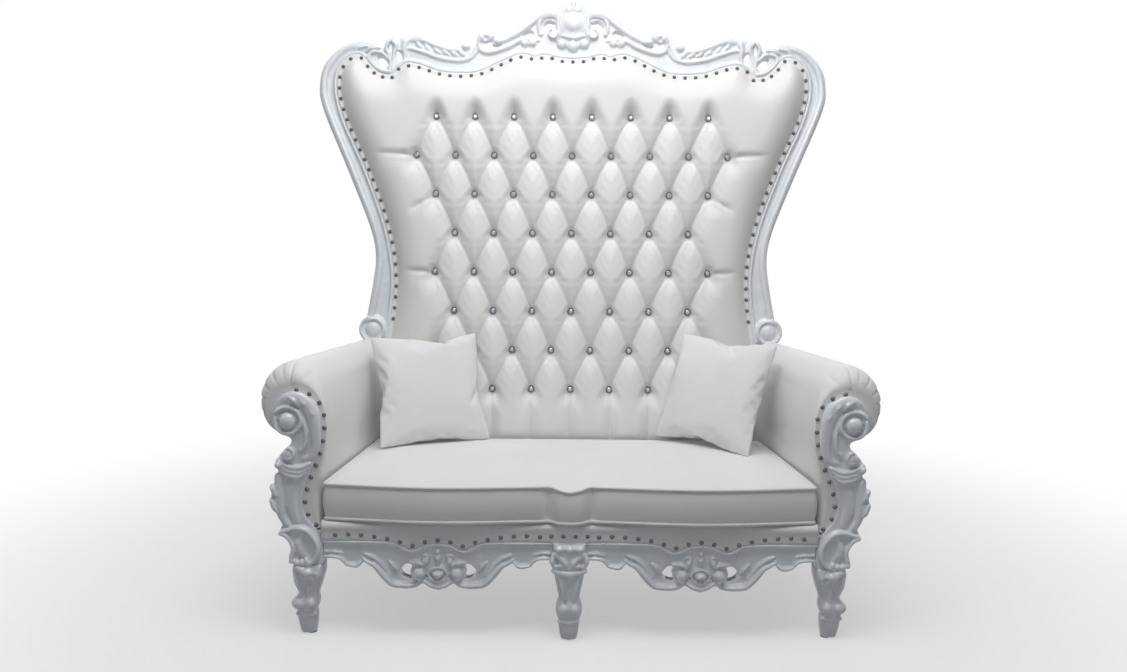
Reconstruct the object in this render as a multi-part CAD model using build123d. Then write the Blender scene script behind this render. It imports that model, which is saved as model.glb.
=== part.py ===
"""Double throne chair: a carved, lacquered loveseat with a tall tufted back.

Millimetres, +X to the right as seen from the front, +Y to the back, +Z up.
The origin is on the floor, under the middle of the chair.
"""

import os
from math import atan2, ceil, cos, degrees, hypot, radians, sin, tan

from build123d import *

# Heights, stacked from the floor up
GLIDE_T = 4.0
GLIDE_R = 13.0
LEG_H = 205.0
RAIL_LIFT = 10.0
RAIL_H = 85.0
WEB_T = 2.0
DECK_T = 26.0
CUSHION_T = 102.0
ARM_RISE = 303.0
ARM_SWELL = 22.0

# Depths, front to back
APRON_Y = -417.0
APRON_T = 34.0
FRONT_RAIL_T = 30.0
FACING_PROUD = 3.0
BORDER_PROUD = 3.0
FACING_T = 48.0
BACK_Y = 183.0
RECLINE = 9.0
REAR_RAIL_Y = 142.0
REAR_RAIL_T = 30.0
REAR_FOOT_Y = 262.0

# Widths, from the outside in
ARM_OUTER = 842.0
ARM_FRONT_W = 170.0
ARM_TAPER = 72.0
ARM_BULGE_FRONT = 20.0
ARM_BULGE_REAR = 1.0
ARM_WALL = 62.0
EAR_W = 250.0
ROLL_R_FRONT = 98.0
ROLL_R_REAR = 48.0
POST_W = 70.0
SIDE_RAIL_T = 30.0
SIDE_RAIL_INSET = 4.0

# The back's frame and pad, measured square to the frame's front face
FRAME_T = 45.0
FRAME_STEP = 9.0
FRAME_RELIEF = 10.0
BOARD_T = 12.0
BOARD_SINK = 2.0
FLANGE_TOP = 6.0
CROWN_TOP = 58.0
COVER_T = 4.0
COVER_LAP = 24.0
BACK_RAIL_H = 70.0
BACK_RAIL_MID = 560.0
VOLUTE_R = 47.0
VOLUTE_PROUD = 13.0
VOLUTE_UP = 335.0
CREST_TIP = 1417.0

# Tufting and nails
TUFT_PITCH = 126.0
TUFT_TOP_ROW = 1028.0
TUFT_ROWS = 8
TUFT_WIDE = 8
TUFT_DEPTH = 36.0
PLEAT_DEPTH = 24.0
PLEAT_HALF = 46.0
BUTTON_R = 12.0
BUTTON_H = 8.0
NAIL_R = 6.0
NAIL_H = 4.0
NAIL_SPACING = 36.0
NAIL_INSET = 9.0

# Legs
LEG_W = 84.0
CENTRE_LEG_W = 90.0
LEG_DEPTH = 80.0
LEG_Y = -384.0
CENTRE_LEG_Y = -412.0
CENTRE_LEG_DEPTH = 74.0
BOLT_R = 4.0
BOLT_LENGTH = 64.0

# Apron ornament, repeated in the middle of each half
APRON_TOP_DROP = 25.0
APRON_PLAIN = 28.2
BOSS_R = 20.0

# Soft pieces
SOFT_GAP = 0.3
CUSHION_SIDE_GAP = 4.0
CUSHION_BACK_GAP = 8.0
CUSHION_NOSE_HALF = 60.0
CUSHION_BOW = 30.0
CUSHION_CROWN = 20.0
PILLOW_HALF = 174.0
PILLOW_T = 116.0
PILLOW_DRAW = 14.0
PILLOW_LEAN = 23.0
PILLOW_FROM_ARM = 3.0
PILLOW_FROM_BACK = 4.0
PILLOW_YAWS = {"left_pillow": 24.0, "right_pillow": 42.0}
PILLOW_TILTS = {"left_pillow": -1.0, "right_pillow": 1.0}

# Hidden timber and webbing
FIT = 0.3
ARM_RAIL_W = 36.0
ARM_RAIL_H = 46.0
STUMP_W = 34.0
STUMP_D = 40.0
STRAP_W = 50.0
STRAPS_LONG = 10
STRAPS_CROSS = 4
BLOCK_LEG = 90.0
BLOCK_H = 55.0
BLOCK_FROM_ARM = 32.0
SCREW_R = 2.5
SCREW_HEAD_R = 5.0
SCREW_LENGTH = 46.0
DUST_T = 1.5

# Heights and places that follow from the sizes above
RAIL_BOTTOM = LEG_H + RAIL_LIFT
RAIL_TOP = RAIL_BOTTOM + RAIL_H
DECK_BOTTOM = RAIL_TOP + 2 * WEB_T
DECK_TOP = DECK_BOTTOM + DECK_T
SEAT_Z = DECK_TOP + CUSHION_T
ARM_TOP = SEAT_Z + ARM_RISE
LEAN = radians(RECLINE)
ARM_INNER_FRONT = ARM_OUTER - ARM_FRONT_W
ARM_INNER_REAR = ARM_INNER_FRONT - ARM_TAPER
CREST_JOINT = ARM_OUTER - EAR_W
LEG_X = ARM_INNER_FRONT + LEG_W / 2
FACING_FRONT = APRON_Y - FACING_PROUD
FACING_BACK = FACING_FRONT + FACING_T
LEG_BACK = LEG_Y + LEG_DEPTH / 2
PAD_BOTTOM = (DECK_TOP + 12 - SEAT_Z) / cos(LEAN)
HALF_APRON = (ARM_INNER_FRONT + CENTRE_LEG_W / 2) / 2
HALF_SPAN = ARM_INNER_FRONT - FIT - HALF_APRON

# The back's own plane: x across, y up along the back, z out of its front face
BACK = Plane(
    origin=(0, BACK_Y, SEAT_Z),
    x_dir=(1, 0, 0),
    z_dir=(0, -cos(LEAN), sin(LEAN)),
)
# The front's plane: x across, y up from the floor, z forward out of the apron
FRONT = Plane(origin=(0, APRON_Y, 0), x_dir=(1, 0, 0), z_dir=(0, -1, 0))

# The crest's upper edge as drawn, from the middle to the stile. Each row is one curve.
CREST_DRAWN = [
    [(0, CREST_TIP), (24, 1404), (47, 1378)],
    [(47, 1378), (78, 1384), (112, 1376), (151, 1345), (190, 1316), (227, 1295), (252, 1291)],
    [(252, 1291), (272, 1306), (300, 1303), (312, 1288), (306, 1264)],
    [(306, 1264), (330, 1273), (350, 1272), (366, 1261)],
    [(366, 1261), (407, 1262), (452, 1277), (510, 1295), (543, 1287)],
    [(543, 1287), (568, 1290), (592, 1287)],
]
# Half of one apron half's lower edge as drawn: out from its middle, up from the leg's top
APRON_DRAWN = [
    [(0, -73), (17, -66), (40, -54)],
    [(40, -54), (75, -63), (101, -60), (125, -45), (150, -21), (175, 7), (191, 14)],
    [(191, 14), (203, 8), (218, -6), (240, -4), (255, 2), (268, 13), (285, 16)],
]


def from_edge(points):
    """Points drawn for the stile, given by how far they are in from the arm's outside."""
    return [(ARM_OUTER - x, y) for x, y in points]


def over_crest(points):
    """Points drawn for the crest, spread between the middle and the stile."""
    spread = CREST_JOINT / CREST_DRAWN[-1][-1][0]
    return [(x * spread, y) for x, y in points]


def over_apron(points):
    """Points drawn for half an apron half, spread over its carved length."""
    spread = (HALF_SPAN - APRON_PLAIN) / APRON_DRAWN[-1][-1][0]
    return [(x * spread, y) for x, y in points]


# Outlines of the back, right half, in the back's plane. Each row is one curve.
OPENING_SIDE = from_edge([
    (244, 300), (262, 440), (261, 545), (233, 683), (165, 867), (99, 1014),
    (73, 1110), (78, 1180), (107, 1222), (147, 1231), (178, 1200),
])
OPENING_LOBE = from_edge([(178, 1200), (212, 1171), (EAR_W, 1166)])
OPENING_CREST = over_crest([
    (592, 1166), (545, 1204), (500, 1200), (430, 1178), (350, 1173),
    (300, 1181), (240, 1209), (180, 1235), (150, 1236), (122, 1228), (95, 1236),
    (45, 1226), (0, 1222),
])
STILE_CAP = from_edge([(EAR_W, 1287), (236, 1284), (225, 1262)])
STILE_OUTER = from_edge([
    (225, 1262), (182, 1274), (137, 1280), (80, 1262), (30, 1207), (12, 1140),
    (24, 1055), (114, 839), (182, 668), (201, 575), (192, 484), (174, 380),
])
CREST_OUTER = [over_crest(points) for points in CREST_DRAWN]
# Piercings of the crest and stile, each of an upper and a lower curve
CREST_HOLES = [
    [
        over_crest([(99, 1334), (88, 1347), (72, 1349), (56, 1340)]),
        over_crest([(56, 1340), (76, 1334), (92, 1318), (99, 1334)]),
    ],
    [
        over_crest([(168, 1305), (141, 1317), (129, 1307)]),
        over_crest([(129, 1307), (142, 1292), (168, 1305)]),
    ],
    [
        over_crest([(266, 1268), (247, 1273), (227, 1274)]),
        over_crest([(227, 1274), (250, 1263), (266, 1268)]),
    ],
    [
        over_crest([(582, 1254), (567, 1244), (557, 1218)]),
        over_crest([(557, 1218), (569, 1204), (582, 1254)]),
    ],
]
STILE_HOLE = [
    from_edge([(200, 1228), (218, 1228), (240, 1200)]),
    from_edge([(240, 1200), (220, 1199), (200, 1228)]),
]

# Outline of the arm's carved facing, right side: across from the arm's inner
# face, and up from the leg's top
FACING_CURVES = [
    [(81, 0), (90, 17), (79, 48), (92, 81)],
    [(92, 81), (115, 91), (109, 111)],
    [(109, 111), (137, 185), (115, 262)],
    [(115, 262), (118, 283), (107, 310), (79, 338)],
    [
        (79, 338), (80, 353), (113, 373), (127, 425), (98, 471), (51, 474), (8, 447),
        (-3, 375), (18, 289), (47, 213), (50, 145), (12, 91), (0, 45),
    ],
    [(0, 45), (0, 0)],
    [(0, 0), (81, 0)],
]
FACING_EYE = (85, 402)
FACING_CURL = (96, 308)
FACING_EYE_R = 25.0
FACING_CURL_R = 13.0

# Half of one apron half, spread over the apron
APRON_LOWER = [over_apron(points) for points in APRON_DRAWN]
APRON_UPPER = over_apron([(140, 68), (101, 58), (68, 48), (35, 59), (0, 64)])
APRON_HOLE = [
    over_apron([(79, -3), (93, 0), (106, -18)]),
    over_apron([(106, -18), (97, -32), (79, -37)]),
    over_apron([(79, -37), (84, -20), (79, -3)]),
]
APRON_VOLUTE = over_apron([(59, -23)])[0]


def curve(points):
    """A straight edge through two points, or a smooth one through more."""
    return Line(*points) if len(points) == 2 else Spline(*points)


def face_of(curves):
    """The face inside a closed ring of curves."""
    return make_face([curve(points) for points in curves])


def mirrored(curves):
    """A closed ring from a right-hand chain that starts and ends on the middle line."""
    left = [[(-x, y) for x, y in reversed(points)] for points in reversed(curves)]
    return curves + left


def ring_points(curves):
    return [point for points in curves for point in points[:-1]]


def inset(curves, distance):
    """The same ring of curves with each point moved into the ring by distance."""
    ring = ring_points(curves)
    count = len(ring)
    turn = sum(
        ring[i - 1][0] * ring[i][1] - ring[i][0] * ring[i - 1][1] for i in range(count)
    )
    side = 1 if turn > 0 else -1
    moved = []
    for i, (x, y) in enumerate(ring):
        before, after = ring[i - 1], ring[(i + 1) % count]
        one = hypot(x - before[0], y - before[1])
        two = hypot(after[0] - x, after[1] - y)
        nx = -side * ((y - before[1]) / one + (after[1] - y) / two)
        ny = side * ((x - before[0]) / one + (after[0] - x) / two)
        size = hypot(nx, ny)
        moved.append((x + distance * nx / size, y + distance * ny / size))
    out, at = [], 0
    for points in curves:
        span = len(points) - 1
        out.append([moved[(at + i) % count] for i in range(span + 1)])
        at += span
    return out


def blend(one, two, share):
    """A ring part of the way from one ring to another of the same make."""
    return [
        [(a[0] + share * (b[0] - a[0]), a[1] + share * (b[1] - a[1])) for a, b in zip(p, q)]
        for p, q in zip(one, two)
    ]


def slab(curves, low, high):
    """A flat solid of a ring's outline between two heights."""
    return Pos(0, 0, low) * extrude(face_of(curves), high - low)


def box(low, high):
    """A box from its lowest to its highest corner."""
    size = [b - a for a, b in zip(low, high)]
    return Pos(*low) * Box(*size, align=(Align.MIN,) * 3)


def back_y(height, out=0.0):
    """How far back the back's plane, or one parallel to it, is at a height."""
    return BACK_Y + (height - SEAT_Z) * tan(LEAN) - out / cos(LEAN)


def arm_inner(y, height):
    """Half the width between the arms at a depth and a height."""
    front = FACING_FRONT
    share = (y - front) / (back_y(height) - front)
    wall = ARM_INNER_FRONT + share * (ARM_INNER_REAR - ARM_INNER_FRONT)
    if height <= SEAT_Z:
        return wall
    return wall - ARM_BULGE_FRONT - share * (ARM_BULGE_REAR - ARM_BULGE_FRONT)


def both_sides(name, right):
    """The right-hand piece and its mirror image, under their own names."""
    return {f"right_{name}": right, f"left_{name}": mirror(right, about=Plane.YZ)}


def dome(radius, height):
    """A low round boss with a flat base at z 0."""
    sphere_r = (radius**2 + height**2) / (2 * height)
    ball = Pos(0, 0, height - sphere_r) * Sphere(sphere_r)
    return ball & Pos(0, 0, height) * Box(4 * radius, 4 * radius, 2 * height)


def volute(radius, height):
    """A scroll end: a rim round a sunk ring, with a raised eye."""
    rim, eye = 0.72, 0.42
    profile = Polyline(
        (0, 0), (radius, 0), (radius, height * 0.7), (radius * 0.88, height),
        (radius * rim, height), (radius * 0.6, height * 0.45), (radius * eye, height * 0.45),
        (radius * 0.3, height * 0.95), (0, height), (0, 0),
    )
    return revolve(make_face(Plane.XZ * profile), Axis.Z)


def opening_ring():
    """The edge of the wood round the back's upholstery."""
    corner = (OPENING_SIDE[0][0], PAD_BOTTOM)
    chain = [[(0, PAD_BOTTOM), corner], [corner, OPENING_SIDE[0]]]
    return mirrored(chain + [OPENING_SIDE, OPENING_LOBE, OPENING_CREST])


def stepped(curves, thickness, step, relief):
    """A carved board: full outline behind, a smaller raised field in front."""
    return slab(curves, -thickness, 0) + slab(inset(curves, step), 0, relief)


def crest_rail():
    """The crest: waved outline, five piercings a side, a cartouche and scroll bosses."""
    joint = [OPENING_CREST[0], CREST_OUTER[-1][-1]]
    chain = [[tuple(p) for p in reversed(points)] for points in reversed(CREST_OUTER)]
    outline = mirrored([list(reversed(OPENING_CREST)), joint] + chain)
    body = stepped(outline, FRAME_T, FRAME_STEP, FRAME_RELIEF)
    for hole in CREST_HOLES:
        cut = slab(hole, -FRAME_T, 2 * FRAME_RELIEF)
        body -= cut
        body -= mirror(cut, about=Plane.YZ)
    cartouche = Pos(0, 1318, FRAME_RELIEF) * dome(44, 16)
    body += cartouche
    body += Pos(0, 1375, FRAME_RELIEF) * dome(20, 9)
    body += Pos(0, 1262, FRAME_RELIEF) * dome(24, 9)
    for side in (-1, 1):
        body += Pos(side * 62, 1300, FRAME_RELIEF) * volute(17, 9)
        body += Pos(side * 290, 1286, FRAME_RELIEF) * dome(12, 7)
    return BACK * body


def stile_ring():
    """The stile's outline: a flared wing above, a plain post below."""
    foot = (LEG_H - SEAT_Z) / cos(LEAN) - FRAME_T
    inner, outer = OPENING_SIDE[0][0], OPENING_SIDE[0][0] + POST_W
    return [
        STILE_CAP,
        STILE_OUTER[:-1] + [(outer, STILE_OUTER[-1][1])],
        [(outer, STILE_OUTER[-1][1]), (outer, foot)],
        [(outer, foot), (inner, foot)],
        [(inner, foot), OPENING_SIDE[0]],
        OPENING_SIDE,
        OPENING_LOBE,
        [OPENING_LOBE[-1], STILE_CAP[0]],
    ]


def back_stile():
    """A back stile with its raised moulding, pierced lobe, scroll end and plain foot."""
    ring = stile_ring()
    body = slab(ring, -FRAME_T, 0)
    moulding = slab(inset(ring, FRAME_STEP), 0, FRAME_RELIEF)
    volute_x = OPENING_SIDE[0][0] + POST_W - VOLUTE_R / 2
    body += moulding & box((0, VOLUTE_UP, 0), (2 * ARM_OUTER, 2 * CREST_TIP, FRAME_RELIEF))
    body -= slab(STILE_HOLE, -FRAME_T, 2 * FRAME_RELIEF)
    body += Pos(volute_x, VOLUTE_UP, -FRAME_T / 2) * Cylinder(VOLUTE_R, FRAME_T)
    body += Pos(volute_x, VOLUTE_UP, 0) * volute(VOLUTE_R, VOLUTE_PROUD)
    placed = BACK * body
    below = box((-2 * ARM_OUTER, BACK_Y - 500, -500), (2 * ARM_OUTER, BACK_Y + 500, LEG_H))
    placed -= below
    return placed - rear_bolt(BOLT_R + FIT)


def back_field(gap, low, high):
    """A flat solid that fills the back's opening, with a gap round its edge."""
    return slab(inset(opening_ring(), gap), low, high)


def back_rail(middle):
    """A rail between the stiles, behind the board, its ends shaped to them."""
    low, high = -FRAME_T, -BOARD_SINK - BOARD_T
    bar = box((-ARM_OUTER, middle - BACK_RAIL_H / 2, low), (ARM_OUTER, middle + BACK_RAIL_H / 2, high))
    return BACK * (bar & back_field(FIT, low, high))


def outside_cover():
    """The leathercloth panel tacked over the back of the frame."""
    ring = inset(opening_ring(), -COVER_LAP)
    return BACK * slab(ring, -FRAME_T - COVER_T, -FRAME_T)


def tuft_points():
    """Where the buttons sit: rows that step by half a pitch, the second one longer."""
    rows = []
    for row in range(TUFT_ROWS):
        count = TUFT_WIDE if row % 2 == 0 else TUFT_WIDE - 1
        count += 2 if row == 1 else 0
        first = -(count - 1) / 2 * TUFT_PITCH
        up = TUFT_TOP_ROW - row * TUFT_PITCH
        rows.append([(first + i * TUFT_PITCH, up) for i in range(count)])
    return rows


def pleat(start, end, half, depth):
    """A groove with rounded shoulders along a line, to cut from the pad's face."""
    length = hypot(end[0] - start[0], end[1] - start[1])
    above = CROWN_TOP / 4
    section = [
        ThreePointArc((-half, 0), (-half * 0.36, -depth * 0.28), (0, -depth)),
        ThreePointArc((0, -depth), (half * 0.36, -depth * 0.28), (half, 0)),
        Polyline((half, 0), (half, above), (-half, above), (-half, 0)),
    ]
    groove = extrude(Plane.YZ * make_face(section), length)
    turn = degrees(atan2(end[1] - start[1], end[0] - start[0]))
    return Pos(start[0], start[1], CROWN_TOP) * Rot(0, 0, turn) * groove


def pleat_lines():
    """Every straight run of pleats between buttons, and those that run out to the edge."""
    rows = tuft_points()
    known = {(round(x), row) for row, points in enumerate(rows) for x, _ in points}
    runs = []
    for lean in (-1, 1):
        for row, points in enumerate(rows):
            for x, up in points:
                step = lean * TUFT_PITCH / 2
                if (round(x - step), row - 1) in known:
                    continue
                last = 0
                while (round(x + (last + 1) * step), row + last + 1) in known:
                    last += 1
                if last:
                    end = (x + last * step, up - last * TUFT_PITCH)
                    runs.append(((x, up), end, PLEAT_HALF, PLEAT_DEPTH))
    slim, shallow = PLEAT_HALF / 4, PLEAT_DEPTH / 2
    for x, up in rows[-1]:
        runs.append(((x, up), (x, PAD_BOTTOM + 60), slim, shallow))
    for row in (1, 4):
        for x, up in (rows[row][0], rows[row][-1]):
            reach = x + (TUFT_PITCH if x > 0 else -TUFT_PITCH)
            runs.append(((x, up), (reach, up), slim, shallow))
    return runs


def back_pad():
    """The tufted pad: a nailed flange, a crowned body, button dimples and pleats."""
    middle_up = TUFT_TOP_ROW - (TUFT_ROWS - 1) / 2 * TUFT_PITCH
    edge = inset(opening_ring(), NAIL_INSET + NAIL_R + 4)
    crown = [[(x * 0.88, middle_up + (y - middle_up) * 0.92) for x, y in p] for p in edge]
    levels = [(edge, FLANGE_TOP), (blend(edge, crown, 0.3), 0.7 * CROWN_TOP), (crown, CROWN_TOP)]
    body = loft([Pos(0, 0, z) * face_of(ring) for ring, z in levels])
    body += back_field(FIT, -BOARD_SINK, FLANGE_TOP)
    wide = BUTTON_R + 1 + TUFT_DEPTH * 0.9
    dimple = Cone(BUTTON_R + 1, wide, TUFT_DEPTH, align=(Align.CENTER, Align.CENTER, Align.MIN))
    dimples = [Pos(x, y, CROWN_TOP - TUFT_DEPTH) * dimple for row in tuft_points() for x, y in row]
    pleats = [pleat(*run) for run in pleat_lines()]
    return BACK * (body - pleats - dimples)


def tuft_buttons():
    """Crystal buttons: a metal rim under a cut stone, one in each dimple."""
    r, h = BUTTON_R, BUTTON_H
    profile = Polyline((0, 0), (r, 0), (r, 0.35 * h), (0.85 * r, 0.45 * h), (0.5 * r, h), (0, h), (0, 0))
    button = revolve(make_face(Plane.XZ * profile), Axis.Z)
    floor = CROWN_TOP - TUFT_DEPTH
    return [BACK * (Pos(x, y, floor) * button) for row in tuft_points() for x, y in row]


def spaced(wire, spacing):
    """Points along a wire, evenly spaced, from end to end."""
    count = ceil(wire.length / spacing)
    return [wire.position_at(i / count) for i in range(count + 1)]


def back_nails():
    """Domed nails round the back's upholstery, from arm to arm."""
    ring = inset(opening_ring(), NAIL_INSET)
    nail = dome(NAIL_R, NAIL_H)
    low = VOLUTE_UP + VOLUTE_R / 2
    places = []
    for points in ring:
        if len(points) > 2:
            places += spaced(curve(points), NAIL_SPACING)[:-1]
    seats = [p for p in places if p.Y > low]
    return [BACK * (Pos(p.X, p.Y, FLANGE_TOP) * nail) for p in seats]


def leg(x, y, width, depth):
    """A turned and carved leg: knee, ankle, ball, collar and toe, in rounded squares."""
    levels = [
        (LEG_H, 1.0), (0.88 * LEG_H, 1.02), (0.7 * LEG_H, 0.87), (0.54 * LEG_H, 0.7),
        (0.39 * LEG_H, 0.86), (0.28 * LEG_H, 0.68), (0.17 * LEG_H, 0.58), (GLIDE_T, 0.4),
    ]
    sections = []
    for z, share in levels:
        size = (share * width, share * depth)
        sections.append(Pos(x, y, z) * RectangleRounded(*size, 0.3 * min(size)))
    return loft(sections) - bolt(x, y, BOLT_R + FIT)


def bolt(x, y, radius):
    """A hanger bolt's body, half in the leg and half in what stands on it."""
    return Pos(x, y, LEG_H) * Cylinder(radius, BOLT_LENGTH)


def rear_post_middle():
    """Where a stile's post meets the top of its leg."""
    x = OPENING_SIDE[0][0] + POST_W / 2
    return x, back_y(LEG_H, -FRAME_T / 2)


def rear_bolt(radius):
    return bolt(*rear_post_middle(), radius)


def rear_leg():
    """A plain sabre leg that sweeps back under the stile."""
    x, y = rear_post_middle()
    depth = FRAME_T / cos(LEAN)
    swept = [
        (LEG_H, y, POST_W, depth),
        (0.6 * LEG_H, y + 0.3 * (REAR_FOOT_Y - y), 0.86 * POST_W, depth),
        (GLIDE_T, REAR_FOOT_Y, 0.62 * POST_W, 0.82 * depth),
    ]
    sections = [Pos(x, b, z) * Rectangle(w, d) for z, b, w, d in swept]
    return loft(sections) - rear_bolt(BOLT_R + FIT)


def facing_ring(gap=0.0):
    """The facing's outline in the front's plane, grown by a gap."""
    moved = [[(ARM_INNER_FRONT + x, LEG_H + z) for x, z in points] for points in FACING_CURVES]
    return inset(moved, -gap)


def arm_post():
    """The arm's carved facing, with its scrolls, and the knee block above the leg."""
    ring = facing_ring()
    body = slab(ring, FACING_FRONT - FACING_BACK, 0)
    body += slab(inset(ring, FRAME_STEP), 0, FRAME_RELIEF / 2)
    eye = (ARM_INNER_FRONT + FACING_EYE[0], LEG_H + FACING_EYE[1])
    curl = (ARM_INNER_FRONT + FACING_CURL[0], LEG_H + FACING_CURL[1])
    body += Pos(*eye, FRAME_RELIEF / 2) * volute(FACING_EYE_R, FRAME_RELIEF)
    body += Pos(*curl, FRAME_RELIEF / 2) * dome(FACING_CURL_R, FRAME_RELIEF)
    placed = Pos(0, FACING_FRONT - APRON_Y, 0) * (FRONT * body)
    block_half = LEG_W / 2
    placed += box(
        (ARM_INNER_FRONT, FACING_FRONT, LEG_H), (LEG_X + block_half - 2, LEG_BACK, RAIL_TOP)
    )
    return placed - bolt(LEG_X, LEG_Y, BOLT_R + FIT)


def apron_upper(inward):
    """The apron's waved top edge, from its outer end in to its middle."""
    return [(inward, RAIL_TOP - APRON_TOP_DROP)] + [(x, LEG_H + z) for x, z in APRON_UPPER]


def apron():
    """The right apron: shaped lower edge, pierced scrolls and a middle boss."""
    end = HALF_SPAN
    lower = [[(x, LEG_H + z) for x, z in points] for points in APRON_LOWER]
    corner = (end, LEG_H + APRON_LOWER[-1][-1][1])
    side = [corner, (end, RAIL_TOP - APRON_TOP_DROP)]
    chain = lower + [[lower[-1][-1], corner], side, apron_upper(end)]
    ring = mirrored(chain)
    body = slab(ring, -APRON_T, 0) + slab(inset(ring, FRAME_STEP), 0, FRAME_RELIEF / 2)
    hole = [[(x, LEG_H + z) for x, z in points] for points in APRON_HOLE]
    cut = slab(hole, -APRON_T, APRON_T)
    body -= cut
    body -= mirror(cut, about=Plane.YZ)
    middle = LEG_H + APRON_VOLUTE[1]
    body += Pos(0, middle, FRAME_RELIEF / 2) * dome(1.3 * BOSS_R, FRAME_RELIEF)
    for side_x in (-1, 1):
        place = Pos(side_x * APRON_VOLUTE[0], middle, FRAME_RELIEF / 2)
        body += place * volute(BOSS_R, FRAME_RELIEF)
        body += Pos(side_x * 24, middle + 46, FRAME_RELIEF / 2) * dome(10, 6)
    body += Pos(0, middle + 62, FRAME_RELIEF / 2) * dome(11, 7)
    return FRONT * (Pos(HALF_APRON, 0, 0) * body)


def centre_leg():
    """The middle front leg, with its knee block between the two aprons."""
    half = CENTRE_LEG_W / 2 - FIT
    front = CENTRE_LEG_Y - CENTRE_LEG_DEPTH / 2
    rear = CENTRE_LEG_Y + CENTRE_LEG_DEPTH / 2
    knee = box((-half, front, LEG_H), (half, rear, RAIL_TOP - APRON_TOP_DROP))
    knee = fillet(knee.edges().filter_by(Axis.Z).group_by(Axis.Y)[0], 14)
    body = leg(0, CENTRE_LEG_Y, CENTRE_LEG_W, CENTRE_LEG_DEPTH) + knee
    return body - bolt(0, CENTRE_LEG_Y, BOLT_R + FIT)


def front_rail():
    """The beam behind the aprons that takes the webbing's front ends."""
    front = APRON_Y + APRON_T
    half = ARM_INNER_FRONT - 1
    beam = box((-half, front, RAIL_BOTTOM), (half, front + FRONT_RAIL_T, RAIL_TOP))
    notch_half = CENTRE_LEG_W / 2
    notch_back = CENTRE_LEG_Y + CENTRE_LEG_DEPTH / 2 + FIT
    beam -= box((-notch_half, front, RAIL_BOTTOM), (notch_half, notch_back, RAIL_TOP))
    return beam - [block_screw(*corner, FIT) for corner in block_corners()]


def rear_rail():
    """The rail between the stiles' posts that takes the webbing's rear ends."""
    half = OPENING_SIDE[0][0]
    rail = box((-half, REAR_RAIL_Y, RAIL_BOTTOM), (half, REAR_RAIL_Y + REAR_RAIL_T, RAIL_TOP))
    return rail - [block_screw(*corner, FIT) for corner in block_corners()]


def beam(front, rear, width, height, front_y, grow=0.0):
    """A timber from a point of a plane across the chair to one of the back's plane."""
    first = Plane((0, front_y, 0), x_dir=(1, 0, 0), z_dir=(0, -1, 0))
    size = (width + 2 * grow, height + 2 * grow)
    start = first * (Pos(*front, grow) * Rectangle(*size))
    end = BACK * (Pos(rear[0], (rear[1] - SEAT_Z) / cos(LEAN), -grow) * Rectangle(*size))
    return loft([start, end], ruled=True)


def side_rail():
    """The seat rail under an arm, from the knee block to the stile's post."""
    middle = SIDE_RAIL_INSET + SIDE_RAIL_T / 2
    up = (RAIL_BOTTOM + RAIL_TOP) / 2
    front = (ARM_INNER_FRONT + middle, up)
    rear = (ARM_INNER_REAR + middle, up)
    rail = beam(front, rear, SIDE_RAIL_T, 2 * RAIL_H, LEG_BACK)
    wide = 2 * ARM_OUTER
    return rail & box((-wide, -wide, RAIL_BOTTOM), (wide, wide, RAIL_TOP))


def roll_middle(front):
    """The middle of the arm's roll at its front or rear end."""
    if front:
        return ARM_OUTER - ROLL_R_FRONT, ARM_TOP + ARM_SWELL - ROLL_R_FRONT
    return ARM_INNER_REAR + ROLL_R_REAR, ARM_TOP - ROLL_R_REAR


def arm_section(inner, bulge, roll, radius, low, seat, shrink=0.0):
    """The arm's section: inner wall, over the roll, and down the outer wall."""
    x, z = roll
    inside, outside, r = inner + shrink, inner + ARM_WALL - shrink, radius - shrink
    edges = [
        Line((inside, low), (inside, seat)),
        Spline((inside, seat), (inside - bulge, z - 0.8 * r), (x, z + r), tangents=[(0, 1), (1, 0)]),
        ThreePointArc((x, z + r), (x + r * sin(radians(45)), z + r * cos(radians(45))), (x + r, z)),
        ThreePointArc((x + r, z), (x + r * sin(radians(45)), z - r * cos(radians(45))), (x, z - r)),
        Line((x, z - r), (outside, z - 1.25 * r)),
        Line((outside, z - 1.25 * r), (outside, low)),
        Line((outside, low), (inside, low)),
    ]
    return make_face(edges)


def arm_rail(grow=0.0):
    """The timber in the arm's roll, from the facing to the stile."""
    return beam(roll_middle(True), roll_middle(False), ARM_RAIL_W, ARM_RAIL_H, FACING_BACK, grow)


def arm_stump(grow=0.0):
    """The upright behind the facing that carries the arm rail."""
    x = ARM_INNER_FRONT + ARM_WALL / 2
    low = (x - STUMP_W / 2 - grow, FACING_BACK - grow, RAIL_TOP - grow)
    top = roll_middle(True)[1] - ARM_RAIL_H / 2 - 1 + grow
    high = (x + STUMP_W / 2 + grow, FACING_BACK + STUMP_D + grow, top)
    return box(low, high)


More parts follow.
